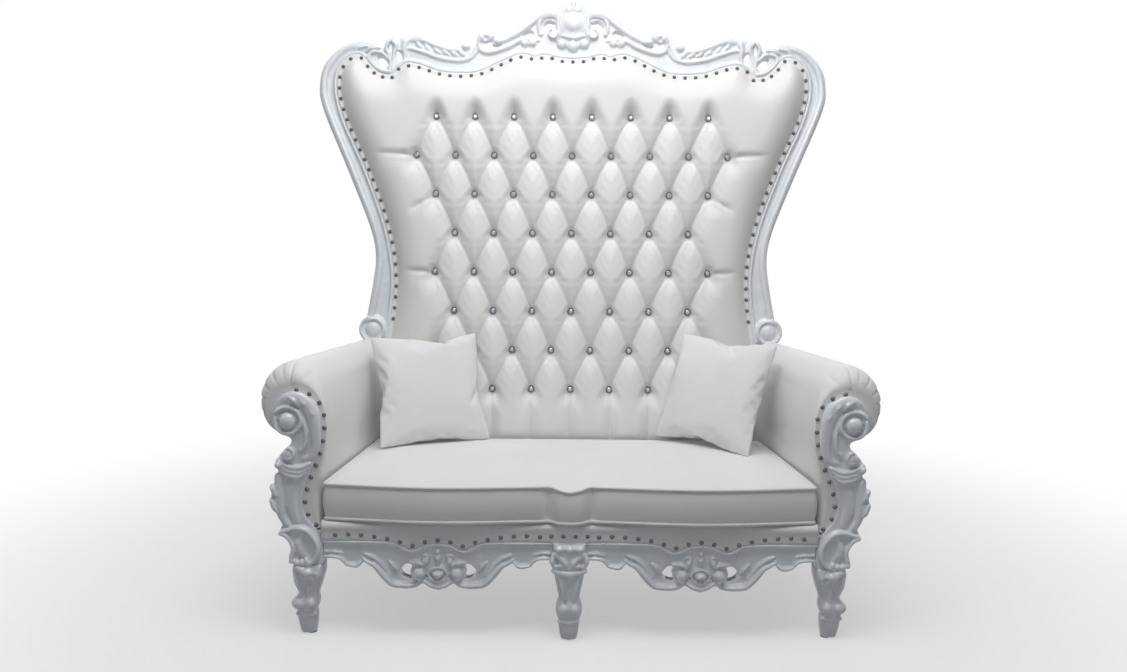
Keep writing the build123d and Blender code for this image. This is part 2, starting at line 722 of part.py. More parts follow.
def arm_pad():
    """The upholstered arm, rounded at the front and hollowed for its timber and facing."""
    front = Plane((0, FACING_FRONT + 12, 0), x_dir=(1, 0, 0), z_dir=(0, -1, 0))
    shape = (ARM_INNER_FRONT, ARM_BULGE_FRONT, roll_middle(True), ROLL_R_FRONT, RAIL_TOP, SEAT_Z)
    nose = ((0, 6), (6, 1.5), (20, 0))
    ends = [Pos(0, depth, 0) * (front * arm_section(*shape, shrink)) for depth, shrink in nose]
    x, z = roll_middle(False)
    roll_up, low_up = (z - SEAT_Z) / cos(LEAN), (RAIL_TOP - SEAT_Z) / cos(LEAN)
    rear = arm_section(ARM_INNER_REAR, ARM_BULGE_REAR, (x, roll_up), ROLL_R_REAR, low_up, 0)
    ends.append(BACK * (Pos(0, 0, FIT) * rear))
    body = loft(ends, ruled=True)
    body -= Pos(0, FACING_FRONT - APRON_Y, 0) * (FRONT * slab(facing_ring(1.0), -FACING_T - FIT, FACING_T))
    body -= arm_rail(FIT)
    body -= arm_stump(FIT)
    volute_x = OPENING_SIDE[0][0] + POST_W - VOLUTE_R / 2
    seat = Pos(volute_x, VOLUTE_UP, 0) * Cylinder(VOLUTE_R + 1, 2 * (VOLUTE_PROUD + 1))
    body -= BACK * seat
    body -= box((0, LEG_BACK - LEG_DEPTH - FIT, 0), (ARM_OUTER, LEG_BACK + FIT, RAIL_TOP + FIT))
    return body


def arm_nails():
    """Domed nails on the upholstery round the facing's inner edge."""
    nail = dome(NAIL_R, NAIL_H)
    ring = facing_ring(NAIL_R + 1.5)
    long_curve = max(ring, key=len)
    seat = FACING_FRONT + 12 - APRON_Y
    clear = RAIL_TOP + 2 * NAIL_R
    roll_x, roll_z = roll_middle(True)
    places = spaced(curve(long_curve), NAIL_SPACING)
    while places[0].X > roll_x + NAIL_SPACING / 2 or places[0].Y < roll_z:
        places = places[1:]
    return [FRONT * (Pos(p.X, p.Y, -seat) * nail) for p in places if p.Y > clear]


def apron_nails():
    """Domed nails along the top of both aprons."""
    nail = dome(NAIL_R, NAIL_H)
    half = spaced(curve(apron_upper(HALF_SPAN)), NAIL_SPACING)[1:]
    places = [(p.X, p.Y) for p in half] + [(-p.X, p.Y) for p in half[:-1]]
    nails = []
    for middle in (-HALF_APRON, HALF_APRON):
        for x, up in places:
            nails.append(FRONT * (Pos(middle + x, up + NAIL_INSET, BORDER_PROUD) * nail))
    return nails


def seat_webbing_long():
    """Straps from the front rail to the rear rail."""
    front, rear = APRON_Y + APRON_T + 4, REAR_RAIL_Y + REAR_RAIL_T / 2
    half = ARM_INNER_REAR - STRAP_W
    pitch = 2 * half / STRAPS_LONG
    middles = [-half + (i + 0.5) * pitch for i in range(STRAPS_LONG)]
    size = (STRAP_W, rear - front, WEB_T)
    return [Pos(x, (front + rear) / 2, RAIL_TOP + WEB_T / 2) * Box(*size) for x in middles]


def seat_webbing_cross():
    """Straps from side rail to side rail, laid on the long ones."""
    front, rear = APRON_Y + APRON_T + FRONT_RAIL_T, REAR_RAIL_Y
    pitch = (rear - front) / STRAPS_CROSS
    straps = []
    for i in range(STRAPS_CROSS):
        y = front + (i + 0.5) * pitch
        half = arm_inner(y + STRAP_W, RAIL_TOP) - 2
        low = (-half, y - STRAP_W / 2, RAIL_TOP + WEB_T)
        straps.append(box(low, (half, y + STRAP_W / 2, DECK_BOTTOM)))
    return straps


def tapered(half_front, front, half_rear, rear):
    """A flat face that narrows from front to rear."""
    corners = [(-half_front, front), (half_front, front), (half_rear, rear), (-half_rear, rear)]
    return make_face(Polyline(*corners, corners[0]))


def seat_deck():
    """The padded deck and its front border, which meets the aprons' waved top."""
    rear = back_y(DECK_BOTTOM) - 14
    front = APRON_Y + APRON_T
    half_front, half_rear = arm_inner(front, DECK_TOP) - 1, arm_inner(rear, DECK_TOP) - 1
    plate = Pos(0, 0, DECK_BOTTOM) * extrude(tapered(half_front, front, half_rear, rear), DECK_T)
    border = box((-half_front, APRON_Y - BORDER_PROUD, LEG_H), (half_front, front, DECK_TOP))
    edge = apron_upper(HALF_SPAN)
    ring = mirrored([[(0, 0), (HALF_SPAN, 0)], [(HALF_SPAN, 0), edge[0]], edge])
    for middle in (-HALF_APRON, HALF_APRON):
        border -= FRONT * (Pos(middle, FIT, -APRON_T) * slab(ring, 0, 2 * APRON_T))
    wide = ARM_OUTER
    knee_half = CENTRE_LEG_W / 2 + FIT
    knee_top = RAIL_TOP - APRON_TOP_DROP + FIT
    border -= box((-knee_half, -wide, 0), (knee_half, front, knee_top))
    for side in (-1, 1):
        end = side * (HALF_APRON + HALF_SPAN + wide / 2)
        border -= Pos(end, 0, knee_top / 2) * Box(wide, 2 * wide, knee_top)
    return plate + border


def dust_cover():
    """The thin cloth under the seat frame."""
    front, rear = APRON_Y + APRON_T, REAR_RAIL_Y + REAR_RAIL_T
    half_front, half_rear = ARM_INNER_FRONT, OPENING_SIDE[0][0] - 4 * DUST_T
    flat = tapered(half_front, front + 2, half_rear, rear)
    sheet = Pos(0, 0, RAIL_BOTTOM - DUST_T) * extrude(flat, DUST_T)
    knee = CENTRE_LEG_W / 2 + 2
    notch = box((-knee, front, 0), (knee, CENTRE_LEG_Y + CENTRE_LEG_DEPTH / 2 + 2, RAIL_TOP))
    return sheet - notch


def block_corners():
    """Where the seat frame's inside corners are, and which way each one opens."""
    inside_front = APRON_Y + APRON_T + FRONT_RAIL_T
    inside_rear = REAR_RAIL_Y
    corners = []
    for side in (-1, 1):
        for y, away in ((inside_front, 1), (inside_rear, -1)):
            x = arm_inner(y, RAIL_BOTTOM) - BLOCK_FROM_ARM
            corners.append((side * x, y, -side, away))
    return corners


def corner_blocks():
    """Triangular glue blocks against the front and rear rails, near the corners."""
    low = (RAIL_BOTTOM + RAIL_TOP - BLOCK_H) / 2
    blocks = []
    for x, y, inward, away in block_corners():
        shape = Polyline((x, y), (x + inward * BLOCK_LEG, y), (x, y + away * BLOCK_LEG), (x, y))
        block = Pos(0, 0, low) * extrude(make_face(shape), BLOCK_H)
        blocks.append(block - block_screw(x, y, inward, away, FIT))
    return blocks


def block_screw(x, y, inward, away, grow=0.0):
    """A screw through a corner block into its rail."""
    shank = Cylinder(SCREW_R + grow, SCREW_LENGTH, align=(Align.CENTER, Align.CENTER, Align.MIN))
    head = Cylinder(SCREW_HEAD_R + grow, 4 + grow, align=(Align.CENTER, Align.CENTER, Align.MAX))
    place = Pos(x + inward * BLOCK_LEG / 3, y + away * BLOCK_LEG * 0.45, (RAIL_BOTTOM + RAIL_TOP) / 2)
    return place * Rot(90 * away, 0, 0) * (shank + head)


def corner_block_screws():
    return [block_screw(*corner) for corner in block_corners()]


def leg_bolts():
    """Hanger bolts that hold the five legs on."""
    rear_x, rear_y = rear_post_middle()
    places = [(0, CENTRE_LEG_Y)]
    for side in (-1, 1):
        places += [(side * LEG_X, LEG_Y), (side * rear_x, rear_y)]
    return [bolt(x, y, BOLT_R) for x, y in places]


def foot_glides():
    """Nail-on glides under the five feet."""
    rear_x = rear_post_middle()[0]
    places = [(0, CENTRE_LEG_Y)]
    for side in (-1, 1):
        places += [(side * LEG_X, LEG_Y), (side * rear_x, REAR_FOOT_Y)]
    return [Pos(x, y, GLIDE_T / 2) * Cylinder(GLIDE_R, GLIDE_T) for x, y in places]


def cushion_ring(shrink):
    """The seat cushion's outline: bowed halves, a nose over the middle leg, straight sides."""
    front = APRON_Y + 5 + shrink
    rear = back_y(DECK_TOP, CROWN_TOP) - CUSHION_BACK_GAP - shrink
    wide = arm_inner(front, DECK_TOP) - CUSHION_SIDE_GAP - shrink
    slim = arm_inner(rear, DECK_TOP) - CUSHION_SIDE_GAP - shrink
    nose = CUSHION_NOSE_HALF - shrink / 4
    half = (wide + nose) / 2
    bowed, cusp = front - CUSHION_BOW, front - CUSHION_BOW / 3
    right = [
        ThreePointArc((0, bowed), (nose / 2, front - 0.8 * CUSHION_BOW), (nose, cusp)),
        ThreePointArc((nose, cusp), (half, bowed), (wide, front)),
        Line((wide, front), (slim, rear)),
        Line((slim, rear), (0, rear)),
    ]
    return make_face(right + [mirror(edge, about=Plane.YZ) for edge in right])


def seat_cushion():
    """The loose bench cushion: boxed sides, drawn in at both seams, and a crowned top."""
    low = DECK_TOP + SOFT_GAP
    bow = 5.0
    walls = [(low, bow), (low + 0.2 * CUSHION_T, 0), (low + 0.8 * CUSHION_T, 0), (SEAT_Z, bow)]
    body = loft([Pos(0, 0, z) * cushion_ring(shrink) for z, shrink in walls], ruled=True)
    top = [(SEAT_Z, bow), (SEAT_Z + 0.7 * CUSHION_CROWN, 70), (SEAT_Z + CUSHION_CROWN, 170)]
    return body + loft([Pos(0, 0, z) * cushion_ring(shrink) for z, shrink in top], ruled=True)


def pillow_section(half, bow):
    """A square whose sides bow out, or draw in where the bow is negative."""
    corners = [(half, half), (-half, half), (-half, -half), (half, -half)]
    edges = []
    for i, start in enumerate(corners):
        end = corners[(i + 1) % len(corners)]
        middle = ((start[0] + end[0]) / 2, (start[1] + end[1]) / 2)
        out = hypot(*middle)
        via = tuple(m * (1 + bow / out) for m in middle)
        edges.append(ThreePointArc(start, via, end))
    return make_face(edges)


def pillow(tilt):
    """A knife-edged throw pillow, lying in its own plane."""
    half_t = PILLOW_T / 2
    levels = [(0.0, 1.0, -PILLOW_DRAW), (0.2, 0.965, -9), (0.42, 0.89, -4), (0.63, 0.77, 1)]
    levels += [(0.8, 0.62, 4), (0.93, 0.43, 5), (1.0, 0.22, 5)]
    stack = [(-z, size, bow) for z, size, bow in reversed(levels[1:])] + levels
    sections = [Pos(0, 0, z * half_t) * pillow_section(size * PILLOW_HALF, bow) for z, size, bow in stack]
    return Rot(0, 0, tilt) * loft(sections, ruled=True)


def lowered(piece, onto):
    """A piece let down until it is just clear of what it rests on."""
    piece = Pos(0, 0, CUSHION_CROWN) * piece
    for _ in range(4):
        piece = Pos(0, 0, SOFT_GAP - piece.distance_to(onto)) * piece
    return piece


def seated_pillow(name, side, cushion):
    """A pillow stood in a corner of the seat, lowered until it rests on the cushion."""
    shape = pillow(-side * PILLOW_TILTS[name])
    turned = Rot(0, 0, -side * PILLOW_YAWS[name]) * Rot(90 - PILLOW_LEAN, 0, 0) * shape
    placed = Pos(side * ARM_INNER_REAR / 2, 0, SEAT_Z + 2 * PILLOW_HALF) * turned
    for _ in range(6):
        placed = lowered(placed, cushion)
        nearest = BACK.to_local_coords(placed).bounding_box().min.Z
        placed = Pos(0, (nearest - CROWN_TOP - PILLOW_FROM_BACK) / cos(LEAN), 0) * placed
        points = [edge.position_at(i / 16) for edge in placed.edges() for i in range(17)]
        beside = [p for p in points if p.Z < ARM_TOP + ARM_SWELL]
        room = min(arm_inner(p.Y, p.Z) - side * p.X for p in beside)
        placed = Pos(side * (room - PILLOW_FROM_ARM), 0, 0) * placed
    return lowered(placed, cushion)


def build():
    """Every piece by node name."""
    cushion = seat_cushion()
    pieces = {
        "crest_rail": crest_rail(),
        "back_board": BACK * back_field(FIT, -BOARD_SINK - BOARD_T, -BOARD_SINK),
        "back_pad": back_pad(),
        "tuft_buttons": tuft_buttons(),
        "back_nails": back_nails(),
        "back_mid_rail": back_rail(BACK_RAIL_MID),
        "back_lower_rail": back_rail(PAD_BOTTOM + BACK_RAIL_H / 2),
        "outside_back_cover": outside_cover(),
        "centre_front_leg": centre_leg(),
        "front_seat_rail": front_rail(),
        "rear_seat_rail": rear_rail(),
        "apron_nails": apron_nails(),
        "seat_webbing_long": seat_webbing_long(),
        "seat_webbing_cross": seat_webbing_cross(),
        "seat_deck": seat_deck(),
        "dust_cover": dust_cover(),
        "corner_blocks": corner_blocks(),
        "corner_block_screws": corner_block_screws(),
        "leg_bolts": leg_bolts(),
        "foot_glides": foot_glides(),
        "seat_cushion": cushion,
        "left_pillow": seated_pillow("left_pillow", -1, cushion),
        "right_pillow": seated_pillow("right_pillow", 1, cushion),
    }
    pieces |= both_sides("back_stile", back_stile())
    pieces |= both_sides("arm_post", arm_post())
    pieces |= both_sides("front_leg", leg(LEG_X, LEG_Y, LEG_W, LEG_DEPTH))
    pieces |= both_sides("rear_leg", rear_leg())
    pieces |= both_sides("apron", apron())
    pieces |= both_sides("side_rail", side_rail())
    pieces |= both_sides("arm_rail", arm_rail())
    pieces |= both_sides("arm_stump", arm_stump())
    pieces |= both_sides("arm_pad", arm_pad())
    nails = arm_nails()
    pieces["right_arm_nails"] = nails
    pieces["left_arm_nails"] = [mirror(nail, about=Plane.YZ) for nail in nails]
    return pieces


def write(pieces):
    """One STEP file for each node."""
    os.makedirs("parts", exist_ok=True)
    for name, shape in pieces.items():
        solids = shape if isinstance(shape, list) else [shape]
        whole = Compound(children=[s for item in solids for s in item.solids()])
        export_step(whole, f"parts/{name}.step")


write(build())
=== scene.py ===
"""Double throne chair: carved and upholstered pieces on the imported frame.

Lengths below are millimetres in the frame's own axes (+X right, +Y back, +Z up),
turned into metres where a mesh is made.
"""
from math import ceil, cos, pi, radians, sin

import bmesh
import bpy
import numpy as np
from mathutils import Matrix, Vector
from mathutils.geometry import tessellate_polygon


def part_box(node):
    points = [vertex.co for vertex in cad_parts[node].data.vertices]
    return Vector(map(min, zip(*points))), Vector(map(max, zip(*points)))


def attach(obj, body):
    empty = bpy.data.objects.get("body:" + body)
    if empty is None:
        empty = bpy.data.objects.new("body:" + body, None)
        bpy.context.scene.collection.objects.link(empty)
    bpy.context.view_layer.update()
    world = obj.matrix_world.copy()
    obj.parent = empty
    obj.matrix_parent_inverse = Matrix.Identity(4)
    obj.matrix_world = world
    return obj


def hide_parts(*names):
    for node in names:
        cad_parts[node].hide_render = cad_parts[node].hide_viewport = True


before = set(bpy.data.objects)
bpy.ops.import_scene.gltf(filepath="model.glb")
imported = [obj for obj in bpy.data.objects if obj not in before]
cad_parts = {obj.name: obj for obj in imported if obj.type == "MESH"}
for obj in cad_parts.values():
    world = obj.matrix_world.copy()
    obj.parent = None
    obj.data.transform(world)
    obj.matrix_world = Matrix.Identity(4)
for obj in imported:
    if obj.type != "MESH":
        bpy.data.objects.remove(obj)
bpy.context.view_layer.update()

MM = 0.001


def top(node):
    """The highest point of a CAD node."""
    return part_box(node)[1].z / MM


# Sizes shared with the solids; pairs are at the front and at the rear of the arms
LEG_H = 205.0
RAIL_TOP = top("front_seat_rail")
DECK_TOP = top("seat_deck")
SEAT_Z = DECK_TOP + 102.0
ARM_TOP = SEAT_Z + 303.0
ARM_PEAK = top("right_arm_pad")
ARM_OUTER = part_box("right_arm_pad")[1].x / MM
ARM_INNER = (672.0, 600.0)
ARM_BULGE = (20.0, 1.0)
ROLL_R = (98.0, 48.0)
ARM_WALL = 62.0
APRON_Y = -417.0
FACING_FRONT = -420.0
FACING_T = 48.0
LEG_BACK = -344.0
LEG_Y = -384.0
CENTRE_LEG_Y = -412.0
CENTRE_LEG_W = 90.0
POST_W = 70.0
NAIL_R = 6.0
BACK_Y = 183.0
RECLINE = radians(9.0)
FRAME_T = 45.0
CREST_JOINT = 592.0
VOLUTE = (644.5, 335.0)
PAD_BOTTOM = (DECK_TOP + 12 - SEAT_Z) / cos(RECLINE)
# Each apron's middle and half width, the top of its ends, and how much higher it is shown
HALF_APRON = (ARM_INNER[0] + CENTRE_LEG_W / 2) / 2
HALF_SPAN = ARM_INNER[0] - HALF_APRON
APRON_FLAT = RAIL_TOP - 25.0
APRON_RISE = 5.0
# Carved pieces: size of the mesh's cells, rounds of smoothing, steps along curves and rims
BROAD_CELL, MID_CELL, FINE_CELL = 2.6, 2.2, 2.0
SOFTENING = 5
FINE_STEP = 3.0
RIM_STEP = 14.0
KNEE_W = 82.0
# Back pad: crown, nailed edge, border under the wood, run up to the crown, turned-down hem,
# where and how often the crown is evened, flat back and grid
CROWN_TOP = 58.0
FLANGE_TOP = 6.0
PAD_TUCK = 7.0
NAILED_EDGE = 14.5
CROWN_RUN = 92.0
CROWN_POWER = 2.3
HEM_DROP, HEM_RUN = 12.0, 5.0
EVEN_FROM, EVEN_RUN, EVEN_ROUNDS = 30.0, 40.0, 60
PAD_BACK = -14.0
PAD_STEP = 4.2
# Tufts: layout, depth and how the cover is drawn to buttons and pleats
TUFT_PITCH = 126.0
TUFT_TOP_ROW = 1028.0
TUFT_ROWS = 8
TUFT_WIDE = 8
TUFT_DEPTH = 36.0
BUTTON_R = 12.0
BUTTON_SIDES = 12
BUTTON_REACH = 40.0
TOP_PULL = 2.4
INNER_PULL = 1.6
PLEAT_BOW = 5.0
DROOP = 0.6
FOLD_LIP, FOLD_AT, FOLD_WIDE = 3.0, 9.0, 3.2
BLEND = 5.0
# Pleats between buttons, to the foot and to the sides: depth along them as shares, and reach
INNER_PLEAT = ((1, 0.5, 1), 58.0)
FOOT_PLEAT = ((1, 0.45, 0.25), 46.0)
SIDE_PLEAT = ((1, 0.28, 0), 34.0)
FOOT_END = PAD_BOTTOM + 40
# Buttons: (radius, height) of the metal rim, (radius, height, turn) of the stone's facets
BUTTON_RIM = [(12.0, -3), (12.0, 2.2), (10.8, 3.6), (9.6, 2.6)]
BUTTON_STONE = [(9.6, 2.6, 0.0), (7.4, 6.2, 0.5), (4.2, 8.2, 0.0)]
# Nails over the middle leg: places across, and the dome as (share of the radius, height)
KNEE_NAILS = (-49.2, -16.4, 16.4, 49.2)
NAIL_DOME = [(1.0, 0.0), (0.87, 2.2), (0.5, 3.6), (0.15, 4.0)]
NAIL_SIDES = 14
# Pleats out to the sides: row, rise and run
SIDE_PLEATS = [(1, 4, 150), (2, -64, 92), (4, 4, 110), (6, -8, 110)]
# Arms: where the full section starts, the run of the rounded front, its folds and the swell
FULL_ARM = FACING_FRONT + 92
NOSE_RUN = 80.0
GATHER_DEPTH = 3.6
ARM_SWELL = 2.5
# Points of the arm's section: over the top, round the roll, up a wall, under the roll, at the base
OVER_POINTS, ROLL_POINTS, WALL_POINTS, UNDER_POINTS, BASE_POINTS = 60, 90, 17, 8, 9
NOSE_LOOPS, ARM_LOOPS = 19, 40
# Pleats round the arm's roll: angle and strength
ROLL_PLEATS = [
    (146, 0.7), (124, 1.0), (106, 0.6), (87, 0.9), (68, 0.7), (47, 1.0), (24, 0.8), (2, 0.9), (-22, 0.6),
]
# Cushion: underside, seams, bowed front and the nose over the middle leg
CUSHION_LOW = DECK_TOP + 0.8
SEAM_LOW = CUSHION_LOW + 4
SEAM_HIGH = SEAT_Z - 2
CUSHION_FRONT = APRON_Y + 5
CUSHION_BOW = 30.0
CUSHION_CROWN = 22.0
CUSHION_RUN = 150.0
CUSHION_CELL = 5.0
CUSP_DIP = 7.0
NOSE_HALF = 60.0
NOSE_DIP = 9.0
NOSE_FADE = 60.0
SIDE_GAP = 4.0
SEAM_R, BACK_WELT_R = 4.6, 5.0
# Outlines up the cushion's side: inset, height over the underside and share of the pinch
CUSHION_ROWS = [
    (7, 0, 1), (5, 1, 2), (3, 4, 3), (-0.5, 14, 9), (-3.5, 32, 10), (-4.5, 50, 10),
    (-3.5, 68, 10), (-0.5, 86, 9), (3, SEAM_HIGH - CUSHION_LOW, 3),
]
# The deck's border: (rise, how far forward) where nailed, (share of the height, forward) above
BORDER_STRIP = 27.0
BORDER_NAILED = [(0, 419.4), (8, 419.9), (20, 420.0), (BORDER_STRIP, 421.2)]
BORDER_ROUND = [(0.2, 423), (0.45, 424.5), (0.7, 423), (0.88, 418), (1.0, 409)]
BORDER_TUCK = 5.0
DECK_FRONT = -396.0
DECK_T = 24.0
# Outside back: spread past the opening, steps, smoothing, grid, padding and gap
COVER_GROW, COVER_STEP, COVER_ROUNDS, COVER_GRID = 24.0, 8.0, 8, 9.0
COVER_RUN, COVER_SWELL, COVER_GAP = 70.0, 6.0, 1.5
# Dust cloth: set back from the front, sag, ripple and gap under the rails
DUST_INSET, DUST_SAG, DUST_RIPPLE, DUST_GAP = 40.0, 5.0, 0.8, 0.6
# Pillows: cut cloth and its first form, finished half width, thickness and bowed sides, lean,
# and the body, yaw and spin of each
PILLOW_CUT = 196.0
PILLOW_PARTED, PILLOW_DOME = 3, 26
PILLOW_STEPS = 46
PILLOW_HALF = 174.0
PILLOW_THICK = 114.0
PILLOW_BOW = 0.070
PILLOW_LEAN = 23.0
PILLOWS = {"left_pillow": ("pillow_left", 24.0, -1.0), "right_pillow": ("pillow_right", -42.0, 89.0)}
CLOTH_FRAMES = 30
CLOTH_SETTINGS = {
    "quality": 6, "mass": 0.3, "tension_stiffness": 18, "compression_stiffness": 12,
    "shear_stiffness": 6, "bending_stiffness": 0.4, "air_damping": 4, "use_pressure": True,
    "uniform_pressure_force": 3.2,
}

# Lamps: name, place, aim, size and power
LAMPS = [
    ("key", (0.0, -1.0, 3.7), (0.0, -0.1, 0.6), 2.2, 40),
    ("upper", (0.0, -0.9, 2.6), (0.0, 0.4, 1.6), 1.4, 18),
    ("fill", (0.0, -4.6, 1.3), (0.0, 0.0, 0.8), 3.0, 4),
    ("left_rim", (-3.2, 0.2, 2.2), (0.0, 0.0, 0.9), 1.6, 1),
    ("right_rim", (3.2, 0.2, 2.2), (0.0, 0.0, 0.9), 1.6, 1),
    ("rear", (0.0, 3.4, 2.4), (0.0, 0.3, 0.8), 2.6, 15),
]
SKY = [(0.25, (0.09, 0.10, 0.115)), (0.9, (0.34, 0.34, 0.345))]
WHITE = (1, 1, 1, 1)
# How the floor shows: its half width, tones, lift, and where it fades into the backdrop
FLOOR_HALF = 30.0
FLOOR_TONES = (0.44, 0.46)
FLOOR_LIFT = 0.47
FLOOR_FADE = (0.9, 2.6)
# Viewpoint: place, (yaw, pitch, roll) in degrees, focal length and image width in pixels
CAMERA_PLACE = (-14.2, -3186.2, 1250.3)
CAMERA_TURN = (-0.143, 8.384, 0.493)
FOCAL_PIXELS, IMAGE_PIXELS = 1060.0, 1127.0
SENSOR = 36.0

# Outlines of the back, right half, in the back's plane
OPENING_SIDE = [
    (598, 300), (580, 440), (581, 545), (609, 683), (677, 867), (743, 1014),
    (769, 1110), (764, 1180), (735, 1222), (695, 1231), (664, 1200),
]
OPENING_LOBE = [(664, 1200), (630, 1171), (CREST_JOINT, 1166)]
OPENING_CREST = [
    (CREST_JOINT, 1166), (545, 1204), (500, 1200), (430, 1178), (350, 1173),
    (300, 1181), (240, 1209), (180, 1235), (150, 1236), (122, 1228), (95, 1236),
    (45, 1226), (0, 1222),
]
STILE_CAP = [(CREST_JOINT, 1287), (606, 1284), (617, 1262)]
STILE_OUTER = [
    (617, 1262), (660, 1274), (705, 1280), (762, 1262), (812, 1207), (830, 1140),
    (818, 1055), (728, 839), (660, 668), (641, 575), (650, 484), (668, 380),
]
CREST_OUTER = [
    [(0, 1417), (24, 1404), (47, 1378)],
    [(47, 1378), (78, 1384), (112, 1376), (151, 1345), (190, 1316), (227, 1295), (252, 1291)],
    [(252, 1291), (272, 1306), (300, 1303), (312, 1288), (306, 1264)],
    [(306, 1264), (330, 1273), (350, 1272), (366, 1261)],
    [(366, 1261), (407, 1262), (452, 1277), (510, 1295), (543, 1287)],
    [(543, 1287), (568, 1290), (CREST_JOINT, 1287)],
]
CREST_HOLES = [
    [(99, 1334), (88, 1347), (72, 1349), (56, 1340), (76, 1334), (92, 1318)],
    [(168, 1305), (141, 1317), (129, 1307), (142, 1292)],
    [(266, 1268), (247, 1273), (227, 1274), (250, 1263)],
    [(582, 1254), (567, 1244), (557, 1218), (569, 1204)],
]
STILE_HOLE = [(642, 1228), (624, 1228), (602, 1200), (622, 1199)]
# Arm facing, across from the arm's inner face and up from the leg's top
FACING_CURVES = [
    [(81, 0), (90, 17), (79, 48), (92, 81)],
    [(92, 81), (115, 91), (109, 111)],
    [(109, 111), (137, 185), (115, 262)],
    [(115, 262), (118, 283), (107, 310), (79, 338)],
    [
        (79, 338), (80, 353), (113, 373), (127, 425), (98, 471), (51, 474), (8, 447),
        (-3, 375), (18, 289), (47, 213), (50, 145), (12, 91), (0, 45),
    ],
    [(0, 45), (0, 0)],
    [(0, 0), (81, 0)],
]
# Half of one apron half, out from its middle and up from the leg's top
APRON_LOWER = [
    [(0, -73), (17, -66), (40, -54)],
    [(40, -54), (75, -63), (101, -60), (125, -45), (150, -21), (175, 7), (191, 14)],
    [(191, 14), (203, 8), (218, -6), (240, -4), (255, 2), (268, 13), (285, 16)],
]
APRON_UPPER = [(140, 68), (101, 58), (68, 48), (35, 59), (0, 64)]
APRON_HOLE = [(72, -1), (88, 2), (104, -16), (96, -33), (74, -39), (77, -20)]

# Carving tables. Ridges: curve, widths, height and level. Beads: place, half width, half
# height, height and level. Scrolls: place, first and last radius, start in degrees, turns,
# widths, height and level. Posts: up, across, shift forward, half width and half depth.
CREST_RIDGES = [
    ([(50, 1369), (80, 1373), (109, 1364), (142, 1338), (182, 1308), (224, 1285), (252, 1282)],
     (16, 20, 20, 18, 14), 13, -4),
    ([(50, 1358), (72, 1364), (98, 1358), (112, 1338), (112, 1314)], (7, 9, 9, 8), 9, -3),
    ([(112, 1284), (140, 1288), (172, 1284), (206, 1266), (244, 1251), (278, 1244), (300, 1252),
      (309, 1272)], (8, 13, 15, 15, 12), 12, -3),
    ([(368, 1252), (407, 1253), (450, 1266), (496, 1283), (532, 1282)], (12, 16, 18, 16, 10), 12, -4),
    ([(566, 1250), (530, 1254), (480, 1240), (437, 1225), (380, 1216), (345, 1221), (324, 1236),
      (311, 1258)], (8, 12, 13, 12, 9), 10, -3),
    ([(588, 1278), (578, 1262), (588, 1232), (590, 1200), (588, 1178)], (18, 12, 9, 10, 14), 12, -4),
    ([(548, 1276), (553, 1256), (549, 1232), (556, 1206)], (18, 16, 11, 9), 12, -3),
    ([(46, 1366), (50, 1340), (46, 1310), (52, 1284)], (9, 11, 10, 8), 11, -2),
]
CREST_BEADS = [
    (270, 1294, 13, 13, 15, -3), (300, 1292, 12, 13, 15, -3), (352, 1262, 15, 11, 13, -3),
    (133, 1275, 13, 11, 13, -3), (158, 1274, 13, 11, 13, -3), (106, 1304, 7, 7, 10, -3),
    (64, 1304, 18, 17, 17, -3), (35, 1272, 17, 15, 15, -2), (14, 1384, 12, 11, 8, 2),
]
CREST_SCROLLS = [(288, 1287, 21, 6, -20, 0.8, (11, 8), 11, -2), (64, 1304, 17, 10, 60, -0.7, (7, 5), 6, 11)]
CREST_FLUTES = 6
CREST_BOARD, APRON_BOARD, VOLUTE_BOARD = (-40, -3), (-37, -6), (-40, 0)
CARTOUCHE_RIDGES = [
    ([(0, 1408), (0, 1392), (0, 1372)], (8, 14, 8), 9, 2),
    ([(-34, 1300), (0, 1292), (34, 1300)], (8, 12, 8), 11, 0),
]
CARTOUCHE_BEADS = [(0, 1344, 47, 62, 12, -3), (0, 1336, 33, 27, 20, -3), (0, 1266, 20, 19, 16, -3)]
STILE_RIDGES = [
    ([(604, 1278), (612, 1256), (604, 1236), (597, 1205), (600, 1180)], (14, 12, 9, 10, 12), 12, -4),
    ([(600, 1177), (628, 1182), (656, 1204), (668, 1228), (655, 1241), (628, 1241), (606, 1222)],
     (12, 13, 12, 10, 8), 11, -3),
    ([(634, 1257), (660, 1254), (684, 1242)], (7, 13, 5), 11, -3),
    ([(672, 1262), (698, 1256), (716, 1244)], (6, 12, 4), 10, -3),
]
